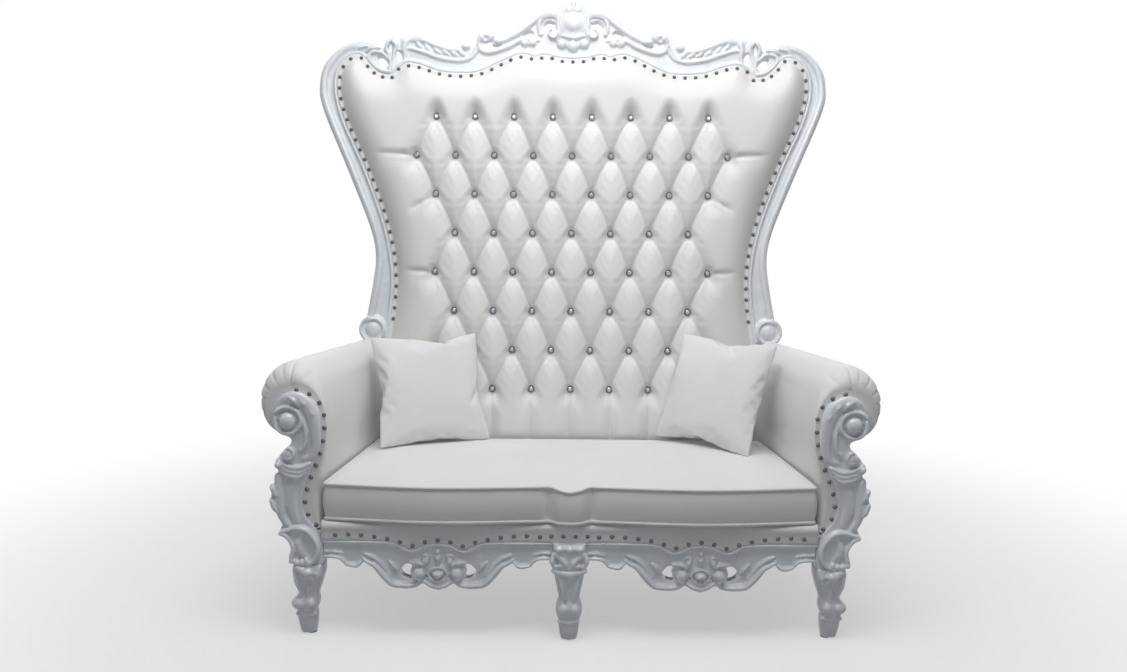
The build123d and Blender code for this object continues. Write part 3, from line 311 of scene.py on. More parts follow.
# Boards of the stile: how far the outer edge is moved in, back and front
STILE_BOARDS = [(0.0, -42, -22), (15.0, -42, -6)]
VOLUTE_R = 46.0
VOLUTE_BEADS = [(*VOLUTE, 24, 24, 11, -1)]
VOLUTE_SCROLLS = [(*VOLUTE, 41, 33, 70, -1.05, (10, 12, 9), 12, -1)]
POST_RIDGES = [
    ([(784, 640), (764, 664), (734, 668), (706, 650), (690, 618), (684, 580), (684, 540), (696, 510),
      (722, 502)], (10, 22, 30, 32, 30, 26, 22, 18, 10), 12, -5),
    ([(752, 672), (738, 664), (726, 650)], (8, 15, 8), 12, 0),
    ([(722, 668), (712, 656), (704, 640)], (7, 13, 7), 11, 0),
    ([(698, 646), (690, 630), (686, 612)], (6, 12, 6), 10, 0),
    ([(724, 634), (714, 606), (708, 572), (712, 540), (726, 524)], (6, 9, 10, 10, 8), 10, -3),
    ([(786, 498), (762, 483), (730, 478), (700, 490)], (9, 14, 14, 7), 12, -3),
    ([(784, 486), (762, 471), (730, 466), (706, 478)], (9, 14, 14, 7), 12, -3),
    ([(782, 474), (762, 459), (730, 454), (712, 466)], (9, 14, 14, 7), 12, -3),
    ([(788, 452), (786, 400), (781, 345), (764, 316)], (16, 20, 20, 14), 8, -4),
    ([(735, 452), (752, 415), (754, 370), (742, 330)], (18, 26, 26, 18), 7, -5),
    ([(803, 424), (795, 404), (783, 392)], (13, 13, 5), 12, -3),
    ([(805, 386), (797, 362), (786, 350)], (13, 13, 5), 12, -3),
    ([(782, 299), (764, 303), (742, 309), (716, 304), (694, 282), (684, 254), (690, 226), (708, 210),
      (736, 208)], (9, 12, 13, 14, 14, 13, 11), 13, -4),
    ([(786, 293), (770, 287), (758, 270), (752, 250), (757, 228)], (10, 11, 10, 11, 12), 12, -4),
    ([(728, 290), (738, 268), (732, 244), (716, 226)], (8, 20, 20, 10), 9, -4),
]
POST_BEADS = [
    (757, 607, 25, 25, 19, -4), (756, 517, 17, 17, 16, -4), (785, 486, 11, 12, 15, -3),
    (757, 218, 9, 11, 13, -4), (743, 213, 9, 11, 13, -4), (729, 213, 9, 11, 13, -4),
    (716, 217, 9, 11, 13, -4),
]
POST_SCROLLS = [(757, 607, 38, 34, 35, 0.95, (9, 11, 9), 12, -4), (756, 517, 17, 8, 90, 1.0, (8, 6), 8, 6)]
LEG_LEVELS = [
    (205, 713, 0, 42, 40), (180, 714, 0, 43, 41), (150, 715, 0, 36, 35), (124, 717, 0, 29, 29),
    (112, 720, 0, 28, 29), (101, 725, 0, 35, 34), (88, 728, 0, 38, 36), (76, 727, 0, 34, 32),
    (67, 724, 0, 26, 26), (58, 723, 0, 28, 27), (46, 723, 0, 28, 27), (24, 722, 0, 25, 24),
    (4, 721, 0, 21, 20),
]
LEG_RIDGES = [
    ([(746, 200), (724, 186), (708, 172), (696, 160)], (14, 24, 20, 8), 14, 34),
    ([(682, 200), (688, 182), (696, 164)], (12, 18, 8), 13, 34),
    ([(752, 192), (746, 156), (734, 122)], (8, 10, 6), 9, 31),
    ([(716, 156), (717, 136), (719, 116)], (6, 9, 6), 7, 30),
    ([(698, 60), (723, 57), (748, 60)], 9, 8, 20),
]
LEG_BEADS = [(714, 186, 17, 14, 15, 38), (742, 91, 23, 19, 21, 17), (710, 92, 17, 16, 14, 25)]
CENTRE_LEVELS = [
    (APRON_FLAT, 0, -2, 45, 34), (240, 0, 0, 46, 36), (205, 0, 0, 45, 36), (196, 0, 0, 43, 35),
    (160, 0, 0, 36, 31), (118, 0, 0, 28, 26), (102, 0, 0, 35, 32), (84, 0, 0, 37, 34),
    (68, 0, 0, 33, 30), (60, 0, 0, 28, 26), (50, 0, 0, 29, 27), (36, 0, 0, 28, 26),
    (20, 0, 0, 26, 24), (4, 0, 0, 22, 21),
]
CENTRE_RIDGES = [
    ([(-42, 203), (0, 196), (42, 203)], (12, 18, 12), 12, 30),
    ([(-26, 57), (0, 54), (26, 57)], 9, 7, 22),
]
CENTRE_BEADS = [(-27, 266, 15, 11, 13, 31), (0, 266, 15, 11, 13, 31), (27, 266, 15, 11, 13, 31)]
CENTRE_LEAVES = [
    ([(3, 208), (12, 228), (26, 242), (36, 251), (28, 256), (18, 249)], (10, 16, 14, 12, 8), 13, 30),
    ([(42, 250), (46, 232), (40, 212)], (10, 15, 10), 11, 29),
    ([(6, 214), (30, 219), (40, 209)], (8, 13, 8), 11, 30),
    ([(27, 190), (18, 152), (11, 120)], (8, 11, 7), 9, 28),
]
CENTRE_BALLS = [(16, 92, 15, 17, 12, 26)]
APRON_RIDGES = [
    ([(0, 266), (35, 260), (62, 247), (84, 247), (104, 256), (112, 266)], (10, 10, 9, 8), 9, -6),
    ([(310, 228), (288, 229), (268, 225), (256, 213)], (7, 10, 10, 8), 10, -6),
    ([(252, 207), (240, 205), (222, 204), (210, 213)], (8, 11, 12, 9), 11, -6),
    ([(262, 238), (284, 243), (308, 242)], (6, 9, 7), 7, -6),
    ([(204, 222), (190, 213), (172, 204), (150, 178), (126, 154), (102, 149), (80, 148), (58, 152),
      (46, 166)], (9, 14, 17, 18, 17, 16, 14, 12), 14, -6),
    ([(200, 236), (178, 228), (158, 212), (143, 192), (130, 176)], (6, 10, 11, 10, 6), 8, -6),
    ([(132, 214), (122, 204), (112, 190)], (6, 11, 6), 7, -5),
    ([(40, 206), (31, 222), (28, 232)], (10, 16, 8), 13, -5),
    ([(76, 212), (54, 213), (36, 205)], (6, 11, 8), 10, -5),
    ([(38, 160), (20, 150), (0, 144)], (10, 14, 14), 12, -6),
    ([(30, 168), (16, 160), (0, 157)], (6, 8, 8), 8, -4),
]
APRON_BEADS = [(51, 183, 18, 18, 19, -6)]
APRON_SCROLLS = [(51, 183, 15, 9, -100, 0.8, (7, 5), 6, 8), (36, 230, 9, 3, 200, -0.9, (7, 5), 9, -3)]
BOSS_BEADS = [(0, 182, 18, 12, 18, -5), (0, 246, 8, 8, 12, -4)]
BOSS_RIDGES = [([(0, 210), (0, 228), (0, 246)], (8, 18, 8), 14, -5)]


def plane(origin, across, up, out):
    """The matrix from a flat local frame in millimetres to the chair in metres."""
    columns = [Vector(axis) * MM for axis in (across, up, out)]
    rows = [[columns[c][r] for c in range(3)] + [origin[r] * MM] for r in range(3)]
    return Matrix(rows + [[0, 0, 0, 1]])


BACK = plane(
    (0, BACK_Y, SEAT_Z),
    (1, 0, 0),
    (0, sin(RECLINE), cos(RECLINE)),
    (0, -cos(RECLINE), sin(RECLINE)),
)
FRONT = plane((0, FACING_FRONT, 0), (1, 0, 0), (0, 0, 1), (0, -1, 0))
WORLD = Matrix.Scale(MM, 4)


# Points and curves
def part(value, whole):
    """A share of a whole, held between 0 and 1."""
    return np.clip(value / whole, 0, 1)


def swell(distance, run, power):
    """0 at an edge, rising roundly to 1 at the end of the run."""
    return 1 - (1 - part(distance, run)) ** power


def bell(away, width):
    """1 in the middle, falling softly to 0 on both sides."""
    return np.exp(-((away / width) ** 2))


def unit(vectors):
    """The same directions with a length of 1."""
    return vectors / np.maximum(np.linalg.norm(vectors, axis=1, keepdims=True), 1e-9)


def left_of(vectors):
    """Flat vectors turned a quarter to the left."""
    return np.stack([-vectors[:, 1], vectors[:, 0]], 1)


def spots(*axes):
    """Points from their coordinates, each a list or one number for all."""
    return np.column_stack(np.broadcast_arrays(*axes))


def circle(radius, count, shift=0.0):
    """Points round a circle, or an oval if there are two radii."""
    turn = 2 * pi * (np.arange(count) + shift) / count
    return spots(np.cos(turn), np.sin(turn)) * radius


def spline(points, step=4.0, closed=False):
    """Points along a smooth curve through the given ones."""
    pts = np.array(points, float)
    count = len(pts)
    if count == 2:
        steps = max(1, ceil(np.linalg.norm(pts[1] - pts[0]) / step))
        return pts[0] + np.linspace(0, 1, steps + 1)[:, None] * (pts[1] - pts[0])
    out = []
    for i in range(count if closed else count - 1):
        p1, p2 = pts[i], pts[(i + 1) % count]
        p0 = pts[i - 1] if closed or i else 2 * p1 - p2
        p3 = pts[(i + 2) % count] if closed or i + 2 < count else 2 * p2 - p1
        steps = max(1, ceil(np.linalg.norm(p2 - p1) / step))
        t = (np.arange(steps) / steps)[:, None]
        bend = (2 * p0 - 5 * p1 + 4 * p2 - p3) * t**2 + (3 * p1 - p0 - 3 * p2 + p3) * t**3
        out.append(p1 + 0.5 * ((p2 - p0) * t + bend))
    if not closed:
        out.append(pts[-1:])
    return np.concatenate(out)


def ring(curves, step=4.0):
    """A closed outline from curves that follow each other."""
    return np.concatenate([spline(points, step)[:-1] for points in curves])


def mirrored(curves):
    """A closed chain from a right-hand one that starts and ends on the middle line."""
    left = [[(-x, y) for x, y in reversed(points)] for points in reversed(curves)]
    return curves + left


def moved(points, normal_step):
    """A curve's points shifted square to the curve, to its left if positive."""
    path = np.array(points, float)
    return path + normal_step * left_of(unit(np.gradient(path, axis=0)))


def normals_in(loop):
    """Unit vectors into a closed outline, one at each point."""
    after = np.roll(loop, -1, 0)
    area = np.sum(loop[:, 0] * after[:, 1] - after[:, 0] * loop[:, 1])
    return unit(left_of(after - np.roll(loop, 1, 0)) * np.sign(area))


def edge_distance(points, loop):
    """How far each point is inside a closed outline, negative outside."""
    near = np.full(len(points), 1e9)
    inside = np.zeros(len(points), bool)
    for a, b in zip(loop, np.roll(loop, -1, 0)):
        span = b - a
        share = part((points - a) @ span, max(span @ span, 1e-9))
        off = points - a - share[:, None] * span
        near = np.minimum(near, np.einsum("ij,ij->i", off, off))
        crosses = (a[1] > points[:, 1]) != (b[1] > points[:, 1])
        if span[1]:
            at = a[0] + (points[:, 1] - a[1]) * span[0] / span[1]
            inside ^= crosses & (points[:, 0] < at)
    return np.where(inside, 1, -1) * np.sqrt(near)


# Meshes
def bands(rows, count, closed=True, wrap=False):
    """Faces between rows of points; rows may be closed, and the last may meet the first."""
    faces = []
    for i in range(rows if wrap else rows - 1):
        a, b = i * count, (i + 1) % rows * count
        for k in range(count if closed else count - 1):
            m = (k + 1) % count
            faces.append((a + k, a + m, b + m, b + k))
    return faces


def capped(rows, count):
    """Faces round closed rows of points, with the first and the last row filled."""
    last = (rows - 1) * count
    return bands(rows, count) + [tuple(reversed(range(count))), tuple(range(last, last + count))]


def copies(verts, faces, places):
    """The points and faces of a form that stands in a number of places."""
    count = len(verts)
    points = np.concatenate([verts + place for place in places])
    return points, [tuple(n * count + i for i in face) for n in range(len(places)) for face in faces]


def assign(target, settings):
    """Gives a target's properties their values."""
    for name, value in settings.items():
        setattr(target, name, value)


def linked(name, data):
    """A new object of the scene."""
    obj = bpy.data.objects.new(name, data)
    bpy.context.scene.collection.objects.link(obj)
    return obj


def shaded(obj, smooth=True):
    """Sets how an object's faces are shaded."""
    obj.data.polygons.foreach_set("use_smooth", [smooth] * len(obj.data.polygons))
    return obj


def mesh_object(name, verts, faces, matrix=WORLD, smooth=True):
    """A new object from points in a local frame."""
    mesh = bpy.data.meshes.new(name)
    mesh.from_pydata([tuple(v) for v in verts], [], [tuple(f) for f in faces])
    mesh.transform(matrix)
    mesh.update()
    mesh.validate()
    return shaded(linked(name, mesh), smooth)


def modify(obj, kind, **settings):
    """Adds a modifier with its settings."""
    modifier = obj.modifiers.new(kind.lower(), kind)
    assign(modifier, settings)
    return modifier


def applied(obj):
    """Turns an object's modifiers into its mesh."""
    graph = bpy.context.evaluated_depsgraph_get()
    mesh = bpy.data.meshes.new_from_object(obj.evaluated_get(graph))
    obj.modifiers.clear()
    old, obj.data = obj.data, mesh
    bpy.data.meshes.remove(old)
    return obj


def mirror_copy(obj, name):
    """The same mesh on the other side of the middle plane."""
    mesh = obj.data.copy()
    mesh.transform(Matrix.Diagonal((-1, 1, 1, 1)))
    mesh.flip_normals()
    return linked(name, mesh)


def outward(obj):
    """Turns all faces of a closed mesh outwards."""
    work = bmesh.new()
    work.from_mesh(obj.data)
    bmesh.ops.recalc_face_normals(work, faces=work.faces)
    work.to_mesh(obj.data)
    work.free()
    return obj


def lofted(name, loops, across, up):
    """A closed form through outlines of one make, its ends filled as seen in two axes."""
    count = len(loops[0])
    faces = bands(len(loops), count)
    for i in (0, len(loops) - 1):
        flat = [Vector((p[across], p[up], 0)) for p in loops[i]]
        faces += [tuple(i * count + k for k in tri) for tri in tessellate_polygon([flat])]
    return outward(mesh_object(name, np.concatenate(loops), faces))


def piping(path, radius, sides=10):
    """Points and faces of a round welt along a closed path in space."""
    along = unit(np.roll(path, -1, 0) - np.roll(path, 1, 0))
    side = unit(np.cross(along, (0.0, 0.0, 1.0)))
    rise = np.cross(side, along)
    turns = circle(radius, sides)[None, :, :, None]
    verts = path[:, None] + turns[:, :, 0] * side[:, None] + turns[:, :, 1] * rise[:, None]
    return verts.reshape(-1, 3), bands(len(path), sides, wrap=True)


def grid_piece(name, loop, height, step, matrix):
    """A relief over the inside of an outline: height(points, distance from the edge)."""
    low, high = loop.min(0) - step, loop.max(0) + step
    xs, ys = (np.arange(low[axis], high[axis], step) for axis in (0, 1))
    points = np.stack(np.meshgrid(xs, ys), -1).reshape(-1, 2)
    edge = edge_distance(points, loop)
    keep = edge > 0
    verts = spots(*points.T, height(points, edge))
    index = np.full(len(points), -1)
    index[keep] = np.arange(keep.sum())
    index = index.reshape(len(ys), len(xs))
    corners = np.stack([index[:-1, :-1], index[:-1, 1:], index[1:, 1:], index[1:, :-1]], -1)
    corners = corners.reshape(-1, 4)
    return mesh_object(name, verts[keep], corners[(corners >= 0).all(1)].tolist(), matrix)


def backed(obj, matrix, depth):
    """Closes a relief with a skirt and a flat back at a depth of its plane."""
    mesh = bmesh.new()
    mesh.from_mesh(obj.data)
    rim = [edge for edge in mesh.edges if edge.is_boundary]
    skirt = bmesh.ops.extrude_edge_only(mesh, edges=rim)["geom"]
    for vert in (item for item in skirt if isinstance(item, bmesh.types.BMVert)):
        flat = matrix.inverted() @ vert.co
        vert.co = matrix @ Vector((flat.x, flat.y, depth))
    ends = [item for item in skirt if isinstance(item, bmesh.types.BMEdge) and item.is_boundary]
    bmesh.ops.holes_fill(mesh, edges=ends, sides=0)
    bmesh.ops.recalc_face_normals(mesh, faces=mesh.faces)
    mesh.to_mesh(obj.data)
    mesh.free()
    return obj


class Carving:
    """Overlapping forms in a flat local frame, fused into one carved piece."""

    STROKE_SIDES = 12
    ROUND_ENDS = (0.95, 0.75, 0.45)
    BEAD_ROWS, BEAD_SIDES = 9, 18
    POST_ROWS, POST_SIDES, SQUARENESS = 70, 28, 3.2

    def __init__(self, relief=1.0, fat=1.0):
        self.verts, self.faces, self.sides = [], [], (1,)
        self.relief, self.fat = relief, fat

    def add(self, verts, faces):
        """A form's points and faces, on each of the sides."""
        for side in self.sides:
            start = len(self.verts)
            self.verts += [(side * x, y, z) for x, y, z in verts]
            self.faces += [tuple(start + i for i in face) for face in faces]

    def plate(self, outline, low, high, holes=()):
        """A flat board between two depths."""
        loops = [np.array(loop, float) for loop in (outline, *holes)]
        points = np.concatenate(loops)
        count = len(points)
        triangles = tessellate_polygon([[Vector((x, y, 0)) for x, y in loop] for loop in loops])
        faces = [tuple(tri) for tri in triangles]
        faces += [tuple(count + i for i in reversed(tri)) for tri in triangles]
        start = 0
        for loop in loops:
            stop = start + len(loop)
            for a in range(start, stop):
                b = a + 1 if a + 1 < stop else start
                faces.append((a, b, b + count, a + count))
            start = stop
        self.add([(x, y, z) for z in (low, high) for x, y in points], faces)

    def stroke(self, points, width, height, low):
        """A rounded ridge along a curve; width may change along it."""
        path = spline(points, FINE_STEP)
        widths = self.fat * np.atleast_1d(np.array(width, float))
        steps = np.linspace(0, 1, len(path))
        half = np.interp(steps, np.linspace(0, 1, len(widths)), widths) / 2
        tall = self.relief * height * half / half.max()
        along = unit(np.gradient(path, axis=0))

        def rounded(end, way):
            """Sections that round off an end, from its tip inwards."""
            turns = [(cos(turn * pi / 2), way * sin(turn * pi / 2)) for turn in self.ROUND_ENDS]
            reach = along[end] * half[end]
            return [(path[end] + reach * s, half[end] * c, tall[end] * c, along[end]) for c, s in turns]

        sections = rounded(0, -1) + list(zip(path, half, tall, along)) + rounded(-1, 1)[::-1]
        turns = circle(1.0, self.STROKE_SIDES)
        verts = []
        for centre, r, h, t in sections:
            flat = centre + np.outer(r * turns[:, 0], (-t[1], t[0]))
            verts += spots(*flat.T, low + h * turns[:, 1]).tolist()
        self.add(verts, capped(len(sections), self.STROKE_SIDES))

    def bead(self, x, y, across, up, height, low):
        """An egg-shaped boss, half of it standing out."""
        verts = []
        for polar in pi * (np.arange(self.BEAD_ROWS + 1) + 0.02) / (self.BEAD_ROWS + 0.04):
            flat = (x, y) + circle((across, up), self.BEAD_SIDES) * sin(polar)
            verts += spots(*flat.T, low - self.relief * height * cos(polar)).tolist()
        self.add(verts, capped(self.BEAD_ROWS + 1, self.BEAD_SIDES))

    def scroll(self, x, y, start_r, end_r, start_deg, turns, width, height, low):
        """A spiral ridge that winds in to an eye."""
        share = np.linspace(0, 1, max(10, int(abs(turns) * 22)) + 1)
        r = start_r + (end_r - start_r) * share
        a = np.radians(start_deg + 360 * turns * share)
        self.stroke(spots(x + r * np.cos(a), y + r * np.sin(a)), width, height, low)

    def draw(self, ridges=(), beads=(), scrolls=(), level=0.0):
        """Carves what tables of forms say, from a level."""
        for form, table in ((self.stroke, ridges), (self.bead, beads), (self.scroll, scrolls)):
            for *values, low in table:
                form(*values, low + level)

    def turned(self, levels, out):
        """A post of rounded-square sections."""
        ups, *columns = np.array(levels, float).T
        fine = np.linspace(ups[0], ups[-1], self.POST_ROWS)
        kernel = np.array([1, 2, 3, 2, 1]) / 9
        columns = [np.pad(np.interp(-fine, -ups, column), 2, mode="edge") for column in columns]
        columns = [np.convolve(column, kernel, "valid") for column in columns]
        turns = circle(1.0, self.POST_SIDES)
        turns /= (np.abs(turns) ** self.SQUARENESS).sum(1, keepdims=True) ** (1 / self.SQUARENESS)
        verts = []
        for up, x, shift, half, deep in zip(fine, *columns):
            verts += spots(x + half * turns[:, 0], up, out + shift + deep * turns[:, 1]).tolist()
        self.add(verts, capped(len(fine), self.POST_SIDES))

    def fuse(self, name, matrix, cell=BROAD_CELL):
        """One smooth mesh of all the forms."""
        obj = mesh_object(name, self.verts, self.faces, matrix)
        modify(obj, "REMESH", mode="VOXEL", voxel_size=cell * MM)
        modify(obj, "SMOOTH", factor=0.5, iterations=SOFTENING)
        return shaded(applied(obj))


# Materials
class Look:
    """The nodes of a material or a world, with short ways to wire them."""

    def __init__(self, owner, coords="Object"):
        owner.use_nodes = True
        self.owner, self.nodes = owner, owner.node_tree.nodes
        self.coords = self.add("TexCoord").outputs[coords]

    def feed(self, node, inputs):
        """Sets a node's inputs to values, or links them to other nodes' outputs."""
        for name, value in inputs.items():
            if isinstance(value, bpy.types.NodeSocket):
                self.owner.node_tree.links.new(value, node.inputs[name])
            else:
                node.inputs[name].default_value = value

    def add(self, kind, inputs=None, **settings):
        """A new node with its settings and inputs."""
        node = self.nodes.new("ShaderNode" + kind)
        assign(node, settings)
        self.feed(node, inputs or {})
        return node

    def noise(self, scale, detail=4.0, rough=0.55):
        """Soft random patches."""
        inputs = {"Scale": scale, "Detail": detail, "Roughness": rough, "Vector": self.coords}
        return self.add("TexNoise", inputs).outputs["Fac"]

    def cells(self, scale):
        """Small packed cells."""
        return self.add("TexVoronoi", {"Scale": scale, "Vector": self.coords}).outputs["Distance"]

    def weave(self, directions, strength, depth, inputs):
        """Bumps of threads that run in two directions."""
        heights = []
        for direction in directions:
            wave = self.add("TexWave", {"Vector": self.coords, **inputs}, bands_direction=direction)
            heights.append((wave.outputs["Fac"], strength, depth))
        return heights

    def ramp(self, source, *stops):
        """A colour ramp: (place, colour or grey) stops."""
        node = self.add("ValToRGB", {"Fac": source})
        elements = node.color_ramp.elements
        for i, (place, value) in enumerate(stops):
            element = elements[i] if i < 2 else elements.new(place)
            element.position = place
            element.color = (*value, 1) if isinstance(value, tuple) else (value, value, value, 1)
        return node.outputs["Color"]

    def mottle(self, scale, low, high, spread=(0.3, 0.7), detail=4.0):
        """Soft patches between two colours or greys."""
        return self.ramp(self.noise(scale, detail), (spread[0], low), (spread[1], high))

    def hollows(self, *stops):
        """A ramp from the hollows to the ridges of the shape, for shade painted into the hollows."""
        return self.ramp(self.add("NewGeometry").outputs["Pointiness"], *stops)

    def times(self, one, two):
        """The product of two colours."""
        inputs = {"Factor": 1.0, "A": one, "B": two}
        return self.add("Mix", inputs, data_type="RGBA", blend_type="MULTIPLY").outputs["Result"]

    def math(self, operation, one, two):
        """One number from two."""
        return self.add("Math", {0: one, 1: two}, operation=operation).outputs["Value"]

    def bump(self, *heights):
        """A normal from stacked (height, strength, distance) bumps."""
        inputs = {}
        for height, strength, distance in heights:
            inputs.update({"Strength": strength, "Distance": distance, "Height": height})
            inputs["Normal"] = self.add("Bump", inputs).outputs["Normal"]
        return inputs["Normal"]

    def seen(self):
        """1 for what the camera, a reflection or glass shows, 0 for light that falls on the object."""
        path = self.add("LightPath").outputs
        shown = self.math("MAXIMUM", path["Is Camera Ray"], path["Is Glossy Ray"])
        return self.math("MAXIMUM", shown, path["Is Transmission Ray"])

    def made(self, inputs):
        """Feeds the main shader and hands over the material."""
        self.feed(self.nodes["Principled BSDF"], inputs)
        return self.owner


def look(name):
    """The nodes of a new material."""
    return Look(bpy.data.materials.new(name))


def lacquer():
    """Thick white lacquer: soft gloss, with shade painted a little grey into the carving's hollows."""
    paint = look("white_lacquer")
    tone = paint.mottle(5.0, (0.76, 0.79, 0.82), (0.82, 0.845, 0.87), (0.35, 0.65))
    # Painted shade: the colour goes grey where the carved surface is concave, standing in for shade in the
    # hollows.
    painted_hollow_shade = paint.hollows((0.40, (0.66, 0.68, 0.71)), (0.485, 0.97), (0.56, 1.0))
    flow = (paint.noise(60.0, 2.0), 0.10, 0.0008)
    dust = (paint.noise(420.0, 2.0), 0.05, 0.0003)
    return paint.made({
        "Base Color": paint.times(tone, painted_hollow_shade),
        "Roughness": paint.mottle(22.0, 0.20, 0.32),
        "Coat Weight": 0.45,
        "Coat Roughness": 0.10,
        "Normal": paint.bump(flow, dust),
    })


def leathercloth():
    """White coated cloth: fine pebbled grain, soft gloss, faint creases, and shade painted a little grey
    into its folds.
    """
    hide = look("white_leathercloth")
    tone = hide.mottle(3.5, (0.82, 0.812, 0.792), (0.85, 0.844, 0.828), (0.35, 0.65), 6.0)
    grain = hide.cells(760.0)
    pores = hide.ramp(grain, (0.0, (0.94, 0.94, 0.935)), (0.35, 1.0))
    # Painted shade: the colour goes grey where the cover is concave in its folds and pleats, standing in for
    # shade there.
    painted_fold_shade = hide.hollows((0.38, (0.82, 0.81, 0.80)), (0.49, 1.0))
    creases = hide.noise(26.0, 5.0, 0.6)
    return hide.made({
        "Base Color": hide.times(hide.times(tone, pores), painted_fold_shade),
        "Roughness": hide.mottle(30.0, 0.50, 0.62),
        "Coat Weight": 0.06,
        "Coat Roughness": 0.4,
        "Normal": hide.bump((creases, 0.22, 0.0022), (grain, 0.20, 0.0005)),
    })


def pillow_cloth():
    """White woven cloth with a slight sheen."""
    cloth = look("white_pillow_cloth")
    creases = (cloth.noise(22.0, 4.0), 0.25, 0.003)
    threads = cloth.weave("XZ", 0.12, 0.0004, {"Scale": 420.0, "Distortion": 0.6})
    return cloth.made({
        "Base Color": cloth.mottle(6.0, (0.82, 0.82, 0.815), (0.88, 0.88, 0.875), detail=5.0),
        "Roughness": cloth.mottle(40.0, 0.62, 0.75),
        "Sheen Weight": 0.25,
        "Sheen Roughness": 0.4,
        "Normal": cloth.bump(creases, *threads),
    })


def metal(name, dark, light, rough):
    """Worn metal: two tones, uneven gloss and fine pits."""
    plate = look(name)
    return plate.made({
        "Base Color": plate.mottle(300.0, dark, light),
        "Metallic": 1.0,
        "Roughness": plate.mottle(150.0, rough, rough + 0.15),
        "Normal": plate.bump((plate.noise(600.0), 0.15, 0.0003)),
    })


def crystal():
    """Cut glass stones: clear, sharp highlights, faint cloud."""
    glass = look("cut_crystal")
    tones = (0.1, (0.14, 0.15, 0.165)), (0.6, (0.46, 0.48, 0.51))
    return glass.made({
        "Base Color": glass.ramp(glass.cells(240.0), *tones),
        "Roughness": glass.mottle(90.0, 0.03, 0.10),
        "Metallic": 0.55,
        "IOR": 1.7,
        "Coat Weight": 1.0,
    })


def timber(name, dark, light):
    """Sawn wood: stretched grain bands and saw fuzz."""
    wood = look(name)
    inputs = {"Scale": 14.0, "Distortion": 6.0, "Detail": 4.0, "Vector": wood.coords}
    rings = wood.add("TexWave", inputs, wave_type="RINGS").outputs["Fac"]
    return wood.made({
        "Base Color": wood.ramp(rings, (0.2, dark), (0.8, light)),
        "Roughness": wood.mottle(80.0, 0.6, 0.8),
        "Normal": wood.bump((rings, 0.15, 0.0006), (wood.noise(500.0), 0.2, 0.0004)),
    })


def woven(name, dark, light, scale):
    """Coarse woven strap or cloth."""
    strap = look(name)
    return strap.made({
        "Base Color": strap.mottle(60.0, dark, light),
        "Roughness": strap.mottle(90.0, 0.75, 0.9),
        "Normal": strap.bump(*strap.weave("XY", 0.4, 0.0006, {"Scale": scale})),
    })


def floor_material():
    """A plain pale studio floor that fades into the white backdrop."""
    ground = look("studio_floor")
    shown = ground.seen()
    ground.made({
        "Base Color": ground.mottle(2.0, *FLOOR_TONES),
        "Roughness": 0.9,
        "Specular IOR Level": 0.1,
        "Emission Color": WHITE,
        "Emission Strength": ground.math("MULTIPLY", shown, FLOOR_LIFT),
    })
    far = ground.add("VectorMath", {0: ground.coords}, operation="LENGTH").outputs["Value"]
    inputs = {"From Min": FLOOR_FADE[0], "From Max": FLOOR_FADE[1], "Value": far}
    fade = ground.add("MapRange", inputs, interpolation_type="SMOOTHSTEP").outputs["Result"]
    mix = ground.add("MixShader", {
        "Fac": ground.math("MULTIPLY", fade, shown),
        1: ground.nodes["Principled BSDF"].outputs["BSDF"],
        2: ground.add("Emission").outputs["Emission"],
    })
    ground.feed(ground.nodes["Material Output"], {"Surface": mix.outputs["Shader"]})
    return ground.owner


LACQUER = lacquer()
LEATHER = leathercloth()
CLOTH = pillow_cloth()
NAIL = metal("dark_nail", (0.07, 0.068, 0.066), (0.16, 0.155, 0.15), 0.30)
RIM = metal("bright_rim", (0.15, 0.15, 0.155), (0.27, 0.27, 0.28), 0.25)
STEEL = metal("zinc_steel", (0.45, 0.46, 0.48), (0.62, 0.63, 0.65), 0.35)
CRYSTAL = crystal()
TIMBER = timber("sawn_timber", (0.42, 0.29, 0.17), (0.62, 0.46, 0.29))
BOARD = timber("plain_board", (0.45, 0.33, 0.21), (0.58, 0.45, 0.30))
WEB = woven("strap_weave", (0.03, 0.03, 0.03), (0.07, 0.07, 0.065), 300.0)
DUST = woven("dust_weave", (0.012, 0.012, 0.012), (0.03, 0.03, 0.03), 500.0)
GLIDE = woven("glide_plastic", (0.02, 0.02, 0.02), (0.04, 0.04, 0.04), 120.0)


# Finished pieces
def finish_piece(obj, body, slot, material, *nodes, fill=None):
    """Puts a piece on its body, with its material, in place of its solids."""
    obj.data.materials.clear()
    obj.data.materials.append(material)
    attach(obj, body)
    if nodes:
        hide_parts(*nodes)


def painted(obj, node):
    """Finishes a lacquered piece."""
    finish_piece(obj, "frame", "lacquered_wood", LACQUER, node)


def covered(obj, *nodes, fill=None, body="frame"):
    """Finishes an upholstered piece."""
    finish_piece(obj, body, "leathercloth", LEATHER, *nodes, fill=fill)


def pair(right, piece, node, finish, **options):
    """Finishes a right-hand piece and its mirror image."""
    left = mirror_copy(right, f"left_{piece}")
    finish(right, f"right_{node}", **options)
    finish(left, f"left_{node}", **options)


# Carved wood
def opening_ring(grow=0.0, step=6.0):
    """The edge of the wood round the back's upholstery."""
    corner = (OPENING_SIDE[0][0], PAD_BOTTOM)
    chain = [[(0, PAD_BOTTOM), corner], [corner, OPENING_SIDE[0]], OPENING_SIDE, OPENING_LOBE, OPENING_CREST]
    loop = ring(mirrored(chain), step)
    return loop - grow * normals_in(loop)


